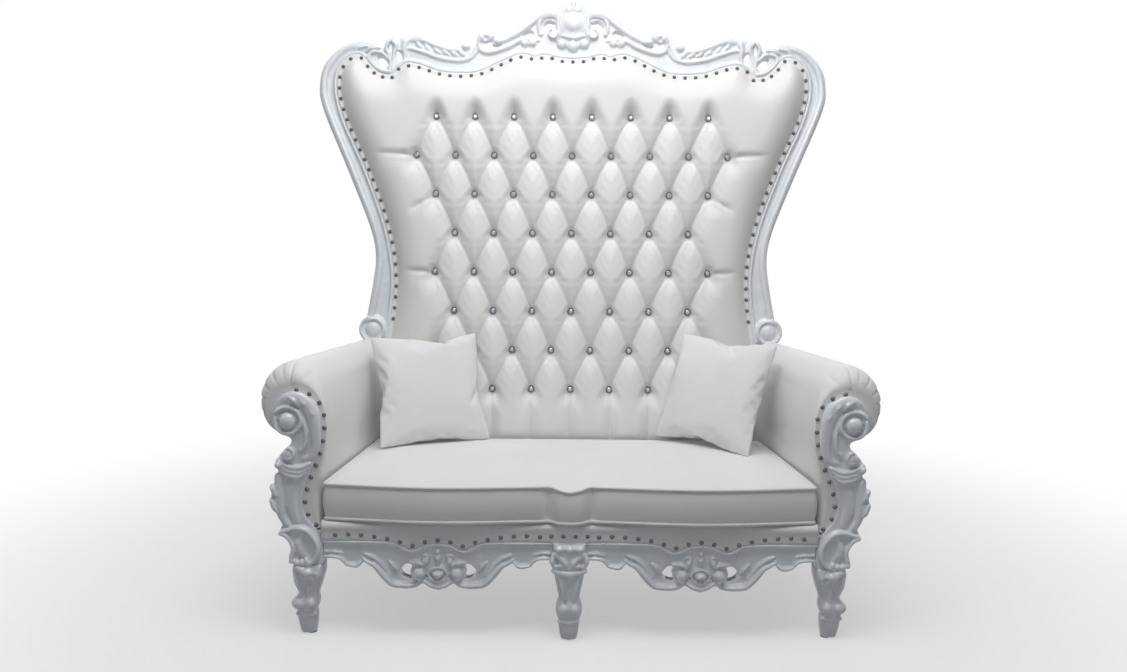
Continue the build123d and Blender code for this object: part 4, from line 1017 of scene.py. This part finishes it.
def crest():
    """The crest rail: pierced board, cartouche, ribbons, beads and fluted leaf edge."""
    joint = [OPENING_CREST[0], CREST_OUTER[-1][-1]]
    chain = [list(reversed(points)) for points in reversed(CREST_OUTER)]
    outline = ring(mirrored([list(reversed(OPENING_CREST)), joint] + chain))
    holes = [spline(hole, FINE_STEP, closed=True) for hole in CREST_HOLES]
    carve = Carving(relief=0.9, fat=1.15)
    carve.plate(outline, *CREST_BOARD, holes + [hole * (-1, 1) for hole in holes])
    carve.sides = (1, -1)
    carve.stroke(moved(OPENING_CREST, -7), 11, 7, -2)
    carve.draw(CREST_RIDGES, CREST_BEADS, CREST_SCROLLS)
    for i in range(CREST_FLUTES):
        x, rise = 512 - 27 * i, 1277 - 8.5 * i + 0.9 * i * i
        carve.stroke([(x, rise), (x - 12, rise - 16), (x - 30, rise - 27)], (9, 14, 5), 9, -3)
    carve.sides = (1,)
    carve.draw(CARTOUCHE_RIDGES, CARTOUCHE_BEADS)
    painted(carve.fuse("crest_carving", BACK), "crest_rail")


def stile_ring(inset=0.0):
    """The stile's outline, with its outer edge moved in by inset."""
    foot = (LEG_H - SEAT_Z) / cos(RECLINE)
    edge = moved(spline(STILE_OUTER, RIM_STEP), -inset) if inset else STILE_OUTER
    inner, outer = OPENING_SIDE[0][0], OPENING_SIDE[0][0] + POST_W
    return ring([
        STILE_CAP,
        edge,
        [edge[-1], (outer - inset, foot)],
        [(outer - inset, foot), (inner, foot)],
        [(inner, foot), OPENING_SIDE[0]],
        OPENING_SIDE,
        OPENING_LOBE,
        [OPENING_LOBE[-1], STILE_CAP[0]],
    ])


def stiles():
    """The back stiles: rolled outer rim, hollow channel, inner bead, lobe and volute."""
    carve = Carving()
    hole = spline(STILE_HOLE, FINE_STEP, closed=True)
    for inset, low, high in STILE_BOARDS:
        carve.plate(stile_ring(inset), low, high, [hole])
    carve.stroke(moved(spline(STILE_OUTER, RIM_STEP), -16.5), (18, 34, 34, 34, 34, 32), 29, -22)
    carve.stroke(moved(OPENING_SIDE, -6), 12, 9, -5)
    carve.plate(circle(VOLUTE_R, 48) + VOLUTE, *VOLUTE_BOARD)
    carve.draw(STILE_RIDGES, VOLUTE_BEADS, VOLUTE_SCROLLS)
    pair(carve.fuse("right_stile_carving", BACK), "stile_carving", "back_stile", painted)


def facing_ring():
    """The outline of the right arm facing."""
    return ring([[(ARM_INNER[0] + x, LEG_H + z) for x, z in points] for points in FACING_CURVES])


def posts():
    """The arm facings: big volute, leaf lobes, hollow C-scroll, shell and knee cartouche."""
    carve = Carving(relief=1.15, fat=1.3)
    carve.plate(facing_ring(), -FACING_T, -4)
    inner, outer = ARM_INNER[0], ARM_INNER[0] + KNEE_W
    knee = [(inner, LEG_H), (outer, LEG_H), (outer, RAIL_TOP), (inner, RAIL_TOP)]
    carve.plate(knee, FACING_FRONT - LEG_BACK, -12)
    carve.draw(POST_RIDGES, POST_BEADS, POST_SCROLLS)
    pair(carve.fuse("right_post_carving", FRONT, MID_CELL), "post_carving", "arm_post", painted)


def front_legs():
    """The outer front legs: leaf bud, tapered shank, ankle ball, collar and toe."""
    out = FACING_FRONT - LEG_Y
    carve = Carving(relief=1.2, fat=1.25)
    carve.turned(LEG_LEVELS, out)
    carve.draw(LEG_RIDGES, LEG_BEADS, level=out)
    pair(carve.fuse("right_leg_carving", FRONT, FINE_CELL), "leg_carving", "front_leg", painted)


def centre_leg():
    """The middle leg: beaded knee with curled leaves, ridged shank, ball, collar and toe."""
    out = FACING_FRONT - CENTRE_LEG_Y
    carve = Carving(relief=1.25, fat=1.2)
    carve.turned(CENTRE_LEVELS, out)
    carve.draw(CENTRE_RIDGES, CENTRE_BEADS, level=out)
    carve.sides = (1, -1)
    carve.draw(CENTRE_LEAVES, CENTRE_BALLS, level=out)
    painted(carve.fuse("centre_leg_carving", FRONT, FINE_CELL), "centre_front_leg")


def apron_upper():
    """The upper edge of half an apron, from its end to its middle."""
    flat = [(HALF_SPAN, APRON_FLAT)] + [(x, LEG_H + z) for x, z in APRON_UPPER]
    return [(x, z + APRON_RISE) for x, z in flat]


def aprons():
    """The aprons: moulded edges, pierced scrolls ending in knobs, oval boss and buds."""
    upper = apron_upper()
    lower = [[(x, LEG_H + z) for x, z in points] for points in APRON_LOWER]
    corner = (HALF_SPAN, lower[-1][-1][1])
    chain = lower + [[lower[-1][-1], corner], [corner, upper[0]], upper]
    hole = spline([(x, LEG_H + z) for x, z in APRON_HOLE], FINE_STEP, closed=True)
    carve = Carving(relief=1.25, fat=1.2)
    carve.plate(ring(mirrored(chain)), *APRON_BOARD, [hole, hole * (-1, 1)])
    carve.sides = (1, -1)
    carve.stroke(moved(upper[:3], 9).tolist() + [(92, 255), (84, 252)], (8, 10, 10, 8), 9, -6)
    carve.draw(APRON_RIDGES, APRON_BEADS, APRON_SCROLLS)
    carve.sides = (1,)
    oval = circle((26, 19), 24) + (0, 182)
    carve.stroke([*oval, oval[0]], 7, 9, -4)
    carve.draw(BOSS_RIDGES, BOSS_BEADS)
    place = FRONT @ Matrix.Translation((HALF_APRON, 0, FACING_FRONT - APRON_Y))
    pair(carve.fuse("right_apron_carving", place, MID_CELL), "apron_carving", "apron", painted)


# Tufted back
def tuft_rows():
    """The buttons' places, row by row from the top."""
    rows = []
    for row in range(TUFT_ROWS):
        count = TUFT_WIDE if row % 2 == 0 else TUFT_WIDE - 1
        count += 2 if row == 1 else 0
        first = -(count - 1) / 2 * TUFT_PITCH
        up = TUFT_TOP_ROW - row * TUFT_PITCH
        rows.append([(first + i * TUFT_PITCH, up) for i in range(count)])
    return rows


def pleat_line(a, b, bow=0.0):
    """A pleat from a button down to another, bowed so that the lobe under the first is full."""
    a, b = np.array(a, float), np.array(b, float)
    span = b - a
    square = np.sign(span[0]) * np.array([-span[1], span[0]]) / np.linalg.norm(span)
    share = np.linspace(0, 1, 5 if bow else 2)[:, None]
    return a + share * span + 4 * bow * share * (1 - share) * square


def pleats():
    """(line, depth at its start, middle and end as shares, reach) of every pleat."""
    rows = tuft_rows()
    out = []
    for upper, lower in zip(rows, rows[1:]):
        for a in upper:
            for b in lower:
                if abs(abs(a[0] - b[0]) - TUFT_PITCH / 2) < 1:
                    out.append((pleat_line(a, b, PLEAT_BOW), *INNER_PLEAT))
    for x, y in rows[-1]:
        out.append((pleat_line((x, y), (x, FOOT_END)), *FOOT_PLEAT))
    for row, rise, run in SIDE_PLEATS:
        for x, y in (rows[row][0], rows[row][-1]):
            tail = (x + np.sign(x) * run, y + rise)
            out.append((pleat_line((x, y), tail), *SIDE_PLEAT))
    return out


def drooped(off, rise):
    """Distances from a pleat, longer above it, so that the stuffing hangs over the pleat."""
    return off * (1.15 + DROOP * rise / np.maximum(off, 1.0))


def pleat_depth(points, line, shares, reach):
    """How deep one pleat draws the cover in, and the lip of its fold, at the points near it."""
    margin = 1.3 * reach
    near = ((points > line.min(0) - margin) & (points < line.max(0) + margin)).all(1)
    close = points[near]
    best, along = np.full(len(close), 1e9), np.zeros(len(close))
    pieces = len(line) - 1
    for i in range(pieces):
        span = line[i + 1] - line[i]
        share = part((close - line[i]) @ span, span @ span)
        away = close - line[i] - share[:, None] * span
        off = drooped(np.linalg.norm(away, axis=1), away[:, 1])
        nearer = off < best
        best[nearer] = off[nearer]
        along[nearer] = (i + share[nearer]) / pieces
    first, middle, last = (TUFT_DEPTH * share for share in shares)
    ends = np.where(along < 0.5, first, last)
    away = np.abs(2 * along - 1)
    eased_end = (along > 0.5) & (last < middle)
    depth = middle + (ends - middle) * np.where(eased_end, away**2 * (3 - 2 * away), away**2)
    lip = FOLD_LIP * bell(best - FOLD_AT, FOLD_WIDE) * np.clip(1.2 - 1.5 * along, 0, 1)
    return near, depth * np.clip(1 - best / reach, 0, 1) ** 2, lip


def tuft_depth(points):
    """How deep the tufting draws the cover in at each point."""
    total, lips = np.zeros(len(points)), np.zeros(len(points))
    for line, shares, reach in pleats():
        near, depth, lip = pleat_depth(points, line, shares, reach)
        total[near] += depth**BLEND
        lips[near] = np.maximum(lips[near], lip)
    for index, row in enumerate(tuft_rows()):
        stretch = TOP_PULL if index == 0 else INNER_PULL
        for x, y in row:
            rise = points[:, 1] - y
            rise = np.where(rise > 0, rise / stretch, rise)
            off = drooped(np.hypot(points[:, 0] - x, rise), rise)
            pull = np.clip(1 - (off - 0.8 * BUTTON_R) / BUTTON_REACH, 0, 1) ** 2
            total += (TUFT_DEPTH * pull) ** BLEND
    return total ** (1 / BLEND) - lips


def evened(values, points):
    """Values over a grid of points, each drawn towards its neighbours a number of times."""
    wide = int((points[:, 1] == points[0, 1]).sum())
    field = values.reshape(-1, wide)
    for _ in range(EVEN_ROUNDS):
        rim = np.pad(field, 1, mode="edge")
        around = rim[:-2, 1:-1] + rim[2:, 1:-1] + rim[1:-1, :-2] + rim[1:-1, 2:]
        field = 0.5 * field + 0.125 * around
    return field.ravel()


def pad_height(points, edge):
    """The back pad over its plane: a nailed edge, an even crown and the tufts."""
    inner = edge - PAD_TUCK
    rise = swell(inner - NAILED_EDGE, CROWN_RUN, CROWN_POWER)
    lip = FLANGE_TOP - 1.0 - HEM_DROP * part(-inner, HEM_RUN)
    crown = lip + (CROWN_TOP - FLANGE_TOP + 1) * rise
    crown = crown + part(inner - EVEN_FROM, EVEN_RUN) * (evened(crown, points) - crown)
    return crown - np.minimum(tuft_depth(points), TUFT_DEPTH) * rise**0.6


def back_pad():
    """The deep-buttoned back, swelling from a nailed edge."""
    relief = grid_piece("back_upholstery", opening_ring(PAD_TUCK), pad_height, PAD_STEP, BACK)
    covered(backed(relief, BACK, PAD_BACK), "back_pad", fill=0.9)


def buttons():
    """Crystal buttons: a metal rim round a cut stone."""
    sides = BUTTON_SIDES
    rows = [spots(*circle(r, sides).T, z) for r, z in BUTTON_RIM]
    rows += [spots(*circle(r, sides, shift).T, z) for r, z, shift in BUTTON_STONE]
    stone, table, last = (n * sides for n in (len(BUTTON_RIM), len(BUTTON_RIM) + 1, len(rows) - 1))
    faces = bands(len(BUTTON_RIM), sides) + [tuple(reversed(range(sides)))]
    looks = [0] * len(faces)
    for a, b, c, d in bands(len(rows), sides):
        if a >= table:
            faces += [(a, b, c), (a, c, d)]
        elif a >= stone:
            faces += [(a, b, d), (b, c, d)]
    faces.append(tuple(range(last, last + sides)))
    looks += [1] * (len(faces) - len(looks))
    places = [(x, y, CROWN_TOP - TUFT_DEPTH) for row in tuft_rows() for x, y in row]
    obj = mesh_object("crystal_buttons", *copies(np.concatenate(rows), faces, places), BACK, smooth=False)
    finish_piece(obj, "frame", "crystal", RIM, "tuft_buttons")
    obj.data.materials.append(CRYSTAL)
    obj.data.polygons.foreach_set("material_index", looks * len(places))


# Arms and seat
def arm_loop(inner, bulge, x, z, r, low, seat):
    """The arm's section as a closed outline with the same make at every place."""
    shoulder = np.array([inner - 0.55 * bulge + 0.12 * (x - inner), z + 0.35 * r])
    crown = np.array([x, z + r])
    bend = shoulder + (crown - shoulder) * (0.55, 0.8)
    beyond = (x + 0.3 * r, z + 0.954 * r)
    over = spline([(inner, seat), (inner - bulge, z - 0.8 * r), shoulder, bend, crown, beyond], 1.0)
    last = np.argmin(np.linalg.norm(over - crown, axis=1))
    turns = np.linspace(pi / 2, -pi / 2, ROLL_POINTS)[1:]
    outside, under = inner + ARM_WALL, z - 1.25 * r
    return np.concatenate([
        spots(inner, np.linspace(low, seat, WALL_POINTS)[:-1]),
        over[np.linspace(0, last, OVER_POINTS).round().astype(int)],
        spots(x + r * np.cos(turns), z + r * np.sin(turns)),
        spots(np.linspace(x, outside, UNDER_POINTS)[1:], np.linspace(z - r, under, UNDER_POINTS)[1:]),
        spots(outside, np.linspace(under, low, WALL_POINTS)[1:]),
        spots(np.linspace(outside, inner, BASE_POINTS)[1:-1], low),
    ])


def roll_pleats(loop, centre):
    """How strongly each point of a section is drawn into the pleats round the roll."""
    turn = np.degrees(np.arctan2(loop[:, 1] - centre[1], loop[:, 0] - centre[0]))
    depth = np.zeros(len(loop))
    for place, strength in ROLL_PLEATS:
        away = (turn - place + 180) % 360 - 180
        depth += strength * (bell(away, 3.0) - 0.35 * bell(away - 6, 4.5))
    return depth


def arm_nose(front, centre):
    """Outlines from the facing back to the arm's full section, gathered into pleats."""
    inward = normals_in(front)
    gather = np.maximum(roll_pleats(front, centre), -0.4)
    room = np.clip(-edge_distance(front, facing_ring()) - 17, 4, 64)
    room = np.convolve(np.pad(room, 8, mode="wrap"), np.ones(17) / 17, "valid")
    loops = []
    for turn in np.radians(np.linspace(90, 0, NOSE_LOOPS)):
        fold = GATHER_DEPTH * gather * sin(2 * turn) ** 1.5 * part(room - 8, 16)
        flat = front + inward * (room * (1 - cos(turn)) ** 1.2 + fold)[:, None]
        loops.append(spots(flat[:, 0], FULL_ARM - NOSE_RUN * sin(turn), flat[:, 1]))
    return loops


def arm_pads():
    """The rolled arms, drawn in pleats round the front of the roll."""
    front_roll = (ARM_OUTER - ROLL_R[0], ARM_PEAK - ROLL_R[0])
    front = arm_loop(ARM_INNER[0], ARM_BULGE[0], *front_roll, ROLL_R[0], RAIL_TOP, SEAT_Z)
    rear_roll = (ARM_INNER[1] + ROLL_R[1], (ARM_TOP - ROLL_R[1] - SEAT_Z) / cos(RECLINE))
    rear_low = (RAIL_TOP - SEAT_Z) / cos(RECLINE)
    rear = arm_loop(ARM_INNER[1], ARM_BULGE[1], *rear_roll, ROLL_R[1], rear_low, 0)
    rear = spots(rear[:, 0], BACK_Y + rear[:, 1] * sin(RECLINE), SEAT_Z + rear[:, 1] * cos(RECLINE))
    loops = arm_nose(front, front_roll)
    base = loops[-1]
    across, up = normals_in(front).T
    for share in np.linspace(0, 1, ARM_LOOPS)[1:]:
        fullness = -ARM_SWELL * sin(pi * share) * np.abs(across)
        loops.append(base + share * (rear - base) + spots(across, 0, up) * fullness[:, None])
    right = lofted("right_arm_upholstery", loops, 0, 2)
    pair(right, "arm_upholstery", "arm_pad", covered, fill=0.85)


def arm_inner(y, height):
    """Half the width between the arms at a depth and a height."""
    back = BACK_Y + (height - SEAT_Z) * sin(RECLINE) / cos(RECLINE)
    share = (y - FACING_FRONT) / (back - FACING_FRONT)
    return ARM_INNER[0] + share * (ARM_INNER[1] - ARM_INNER[0])


def cushion_loop():
    """The cushion's outline: bowed halves, a nose over the middle leg, straight sides."""
    front, bow, nose = CUSHION_FRONT, CUSHION_BOW, NOSE_HALF
    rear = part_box("seat_cushion")[1].y / MM
    wide, slim = (arm_inner(y, DECK_TOP) - SIDE_GAP for y in (front, rear))
    cusp = (nose, front - bow / 3)
    chain = [
        [(0, rear), (slim - 25, rear)],
        [(slim - 25, rear), (slim - 6, rear - 6), (slim + 1, rear - 25)],
        [(slim + 1, rear - 25), (wide, front + 12)],
        [(wide, front + 12), (wide - 1, front + 3), (wide - 10, front - 1)],
        [(wide - 10, front - 1), ((wide + nose) / 2, front - bow), cusp],
        [cusp, (nose - 16, front - 0.5 * bow), (nose / 2, front - 0.86 * bow), (0, front - bow)],
    ]
    return ring(mirrored(chain), 7.0)


def near_front(points, loop):
    """1 at the cushion's front edge, fading to the back."""
    return np.exp(-(points[:, 1] - loop[:, 1].min()) / NOSE_FADE)


def nose_dip(points, loop):
    """How far the cushion's upper edge dips over the middle leg."""
    across = part(np.abs(points[:, 0]), NOSE_HALF)
    return NOSE_DIP * np.cos(across * pi / 2) ** 2 * near_front(points, loop)


def cushion_body(loop, pinch):
    """The cushion's closed form: stacked outlines, fused into an even mesh."""
    inward = normals_in(loop)
    loops = []
    for inset, rise, draw in CUSHION_ROWS:
        flat = loop + inward * (inset + draw * pinch)[:, None]
        loops.append(spots(*flat.T, CUSHION_LOW + rise))
    obj = lofted("bench_cushion", loops, 0, 1)
    modify(obj, "REMESH", mode="VOXEL", voxel_size=CUSHION_CELL * MM)
    return applied(obj)


def stuffed(points, loop):
    """The cushion's points with a crowned top that is drawn in by the nose."""
    edge = edge_distance(points[:, :2], loop)
    cusp = bell(np.abs(points[:, 0]) - NOSE_HALF, 15) * near_front(points, loop) * part(edge, 20)
    wave = np.sin(points[:, 0] / 71 + 1.3) * np.sin(points[:, 1] / 53 + points[:, 0] / 190)
    lift = CUSHION_CROWN * swell(edge, CUSHION_RUN, CROWN_POWER) - CUSP_DIP * cusp
    lift += 0.9 * wave * part(edge, 60)
    points[:, 2] += lift * part(points[:, 2] - SEAM_HIGH + 6, 5)
    share = part(points[:, 2] - CUSHION_LOW, SEAM_HIGH - CUSHION_LOW)
    points[:, 2] -= share * nose_dip(points, loop)
    return points


def cushion():
    """The loose bench cushion: crowned top, soft boxed sides, piped seams."""
    loop = cushion_loop()
    pinch = bell(np.abs(loop[:, 0]) - NOSE_HALF, 10) * (loop[:, 1] < -300)
    obj = cushion_body(loop, pinch)
    points = stuffed(np.array([v.co for v in obj.data.vertices]) / MM, loop)
    obj.data.vertices.foreach_set("co", (points * MM).ravel())
    modify(obj, "SMOOTH", factor=0.5, iterations=3)
    covered(shaded(applied(obj)), "seat_cushion", fill=0.85, body="cushion")
    path = loop + normals_in(loop) * (1.5 + 3 * pinch)[:, None]
    welts = []
    for z in (SEAM_LOW, SEAM_HIGH):
        share = (z - CUSHION_LOW) / (SEAM_HIGH - CUSHION_LOW)
        verts, faces = piping(spots(*path.T, z - share * nose_dip(loop, loop)), SEAM_R)
        welts.append(verts)
    faces += [tuple(len(verts) + i for i in face) for face in faces]
    covered(mesh_object("cushion_welts", np.concatenate(welts), faces), body="cushion")


def knee_nails():
    """The domed nails that go on over the middle leg."""
    dome = [spots(*circle(share * NAIL_R, NAIL_SIDES).T, out) for share, out in NAIL_DOME]
    places = [(x, top("apron_nails") - NAIL_R, 0) for x in KNEE_NAILS]
    nails = copies(np.concatenate(dome), capped(len(dome), NAIL_SIDES), places)
    finish_piece(mesh_object("knee_nails", *nails, FRONT), "frame", "nail_metal", NAIL)


def deck():
    """The padded deck under the cushion and its border above the aprons."""
    wave = spline(apron_upper(), 2.0)[::-1]
    half = ARM_INNER[0] + 3
    xs = np.arange(-half, half + 1, 5.0)
    lower = np.interp(np.abs(np.abs(xs) - HALF_APRON), *wave.T) - BORDER_TUCK
    lower = np.where(np.abs(xs) < CENTRE_LEG_W / 2 + 4, APRON_FLAT - BORDER_TUCK, lower)
    height = DECK_TOP - BORDER_STRIP - 0.5 - lower
    rows = [spots(xs, -out, lower + rise) for rise, out in BORDER_NAILED]
    rows += [spots(xs, -out, lower + BORDER_STRIP + share * height) for share, out in BORDER_ROUND]
    for y in np.linspace(DECK_FRONT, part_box("seat_deck")[1].y / MM, 30):
        rows.append(spots(xs * (arm_inner(y, DECK_TOP) - 2) / half, y, DECK_TOP))
    rows.append(rows[-1] - (0, 0, DECK_T))
    rows.append(spots(rows[-1][:, 0], LEG_Y, rows[-1][:, 2]))
    rows.append(spots(xs, LEG_Y, lower))
    count, total = len(xs), len(xs) * len(rows)
    faces = bands(len(rows), count, closed=False, wrap=True)
    faces += [tuple(range(0, total, count)), tuple(range(count - 1, total, count))]
    obj = outward(mesh_object("deck_upholstery", np.concatenate(rows), faces))
    covered(obj, "seat_deck", fill=0.9)


def cover_height(_, edge):
    """The outside back behind its plane, lightly padded."""
    return -(FRAME_T + COVER_GAP + COVER_SWELL * swell(edge, COVER_RUN, 2))


def outside_back():
    """The cover over the back of the frame, with a welt round it."""
    loop = opening_ring(COVER_GROW, COVER_STEP)
    for _ in range(COVER_ROUNDS):
        loop = (np.roll(loop, 1, 0) + 2 * loop + np.roll(loop, -1, 0)) / 4
    obj = backed(grid_piece("back_cover", loop, cover_height, COVER_GRID, BACK), BACK, 1 - FRAME_T)
    covered(obj, "outside_back_cover", fill=0.4)
    welt = piping(spots(*loop.T, -FRAME_T - 1.0), BACK_WELT_R)
    covered(mesh_object("back_cover_welt", *welt, BACK))


def dust_sheet():
    """The cloth stapled under the seat, sagging a little."""
    low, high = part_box("dust_cover")
    x0, y0, y1, z = high.x / MM, low.y / MM, high.y / MM, high.z / MM
    across, rows = np.linspace(-1, 1, 60), []
    for share in np.linspace(0, 1, 26):
        y = y0 + DUST_INSET + share * (y1 - y0 - DUST_INSET)
        half = min(x0, arm_inner(y, RAIL_TOP) - SIDE_GAP)
        sag = DUST_SAG * (1 - across * across) * sin(pi * share)
        sag += DUST_RIPPLE * np.sin(9 * across + 5 * share)
        rows.append(spots(across * half, y, z - DUST_GAP - np.maximum(sag, 0)))
    faces = bands(len(rows), len(across), closed=False)
    obj = mesh_object("dust_cloth", np.concatenate(rows), faces)
    finish_piece(obj, "frame", "dust_cloth", DUST, "dust_cover")


# Pillows
def flat_pillow():
    """Two squares of cloth, slightly parted and joined along the rim."""
    side = np.linspace(-PILLOW_CUT, PILLOW_CUT, PILLOW_STEPS)
    ends = (0, PILLOW_STEPS - 1)
    verts, faces, index = [], [], {}

    def corner(i, j, layer):
        """The number of a point; both squares share those of the rim."""
        key = (i, j, 0 if i in ends or j in ends else layer)
        if key not in index:
            index[key] = len(verts)
            dome = cos(pi * side[i] / 2 / PILLOW_CUT) * cos(pi * side[j] / 2 / PILLOW_CUT)
            verts.append((side[i], side[j], key[2] * (PILLOW_PARTED + PILLOW_DOME * dome)))
        return index[key]

    for layer in (1, -1):
        grid = [corner(i, j, layer) for j in range(PILLOW_STEPS) for i in range(PILLOW_STEPS)]
        for quad in bands(PILLOW_STEPS, PILLOW_STEPS, closed=False):
            faces.append([grid[k] for k in quad[::layer]])
    return mesh_object("pillow_form", verts, faces)


def pillow_form():
    """A knife-edged pillow blown up from two flat squares of cloth."""
    obj = flat_pillow()
    cloth = modify(obj, "CLOTH").settings
    assign(cloth, CLOTH_SETTINGS)
    cloth.effector_weights.gravity = 0
    scene = bpy.context.scene
    for step in range(CLOTH_FRAMES):
        scene.frame_set(1 + step)
    applied(obj)
    scene.frame_set(1)
    return obj


def pillows():
    """The two throw pillows, stood in the corners of the seat."""
    form = pillow_form()
    co = np.array([v.co for v in form.data.vertices])
    low, high = co.min(0), co.max(0)
    wide, thick = (high - low)[[0, 2]] / MM
    grow = 2 * PILLOW_HALF / wide
    shape = (co - (low + high) / 2) * (grow, grow, PILLOW_THICK / thick)
    bow = 1 - part(np.abs(shape[:, [1, 0]]), PILLOW_HALF * MM) ** 2
    shape[:, :2] *= 1 + PILLOW_BOW * bow
    for name, (body, yaw, spin) in PILLOWS.items():
        mesh = form.data.copy()
        mesh.vertices.foreach_set("co", shape.ravel())
        place = Matrix.Translation(sum(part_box(name), Vector()) / 2)
        for angle, axis in ((yaw, "Z"), (90 - PILLOW_LEAN, "X"), (spin, "Z")):
            place = place @ Matrix.Rotation(radians(angle), 4, axis)
        mesh.transform(place)
        obj = linked(f"{name}_cover", mesh)
        modify(obj, "SUBSURF", levels=1, render_levels=1)
        finish_piece(shaded(applied(obj)), body, "pillow_cloth", CLOTH, name, fill=0.8)
    bpy.data.objects.remove(form)


# Solids that stay in view
def eased(name):
    """A lacquered solid's own shape with softened edges, in its place."""
    obj = linked(f"{name}_finished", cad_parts[name].data.copy())
    modify(obj, "BEVEL", width=3 * MM, segments=3, limit_method="ANGLE")
    painted(applied(obj), name)


def dress_solids():
    """Materials for the solids that stay in view."""
    looks = {
        NAIL: ["back_nails", "left_arm_nails", "right_arm_nails", "apron_nails"],
        TIMBER: [
            "back_mid_rail", "back_lower_rail", "front_seat_rail", "left_arm_rail", "right_arm_rail",
            "left_arm_stump", "right_arm_stump", "corner_blocks",
        ],
        LACQUER: ["rear_seat_rail"],
        BOARD: ["back_board"],
        WEB: ["seat_webbing_long", "seat_webbing_cross"],
        STEEL: ["corner_block_screws", "leg_bolts"],
        GLIDE: ["foot_glides"],
    }
    for material, names in looks.items():
        for name in names:
            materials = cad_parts[name].data.materials
            materials.clear()
            materials.append(material)
    for name in ("left_rear_leg", "right_rear_leg", "left_side_rail", "right_side_rail"):
        eased(name)


# Studio
def backdrop():
    """A world that shows white, and lights the object softly, less from the front."""
    world = bpy.data.worlds.new("studio")
    bpy.context.scene.world = world
    air = Look(world, "Generated")
    depth = air.add("SeparateXYZ", {"Vector": air.coords}).outputs["Y"]
    share = air.add("MapRange", {"From Min": -1.0, "Value": depth}).outputs["Result"]
    inputs = {"Factor": air.seen(), "A": air.ramp(share, *SKY), "B": WHITE}
    shown = air.add("Mix", inputs, data_type="RGBA").outputs["Result"]
    air.feed(air.nodes["Background"], {"Color": shown})


def studio():
    """A pale floor, a white backdrop, and soft lamps from above."""
    corners = [(FLOOR_HALF * x, FLOOR_HALF * y, 0) for x, y in ((-1, -1), (1, -1), (1, 1), (-1, 1))]
    floor = mesh_object("floor", corners, [(0, 1, 2, 3)], Matrix.Identity(4))
    floor.data.materials.append(floor_material())
    backdrop()
    for name, place, aim, size, power in LAMPS:
        data = bpy.data.lights.new(name, "AREA")
        assign(data, {"shape": "SQUARE", "size": size, "energy": power})
        lamp = linked(name, data)
        lamp.location = place
        lamp.rotation_euler = (Vector(aim) - Vector(place)).to_track_quat("-Z", "Y").to_euler()
    bpy.context.scene.view_settings.view_transform = "Standard"


def camera():
    """The photograph's viewpoint."""
    yaw, pitch, roll = (radians(angle) for angle in CAMERA_TURN)
    ahead = Vector((sin(yaw) * cos(pitch), cos(yaw) * cos(pitch), -sin(pitch)))
    right = Vector((cos(yaw), -sin(yaw), 0))
    up = right.cross(ahead)
    axes = (cos(roll) * right + sin(roll) * up, -sin(roll) * right + cos(roll) * up, -ahead)
    data = bpy.data.cameras.new("camera")
    lens = FOCAL_PIXELS / IMAGE_PIXELS * SENSOR
    assign(data, {"sensor_fit": "HORIZONTAL", "sensor_width": SENSOR, "lens": lens})
    obj = linked("camera", data)
    rows = [[axis[i] for axis in axes] + [CAMERA_PLACE[i] * MM] for i in range(3)]
    obj.matrix_world = Matrix(rows + [[0, 0, 0, 1]])
    bpy.context.scene.camera = obj


PIECES = (
    crest, stiles, posts, front_legs, centre_leg, aprons, back_pad, buttons, arm_pads, cushion,
    deck, knee_nails, outside_back, dust_sheet, pillows,
)
camera()
studio()
for build in PIECES:
    build()
dress_solids()
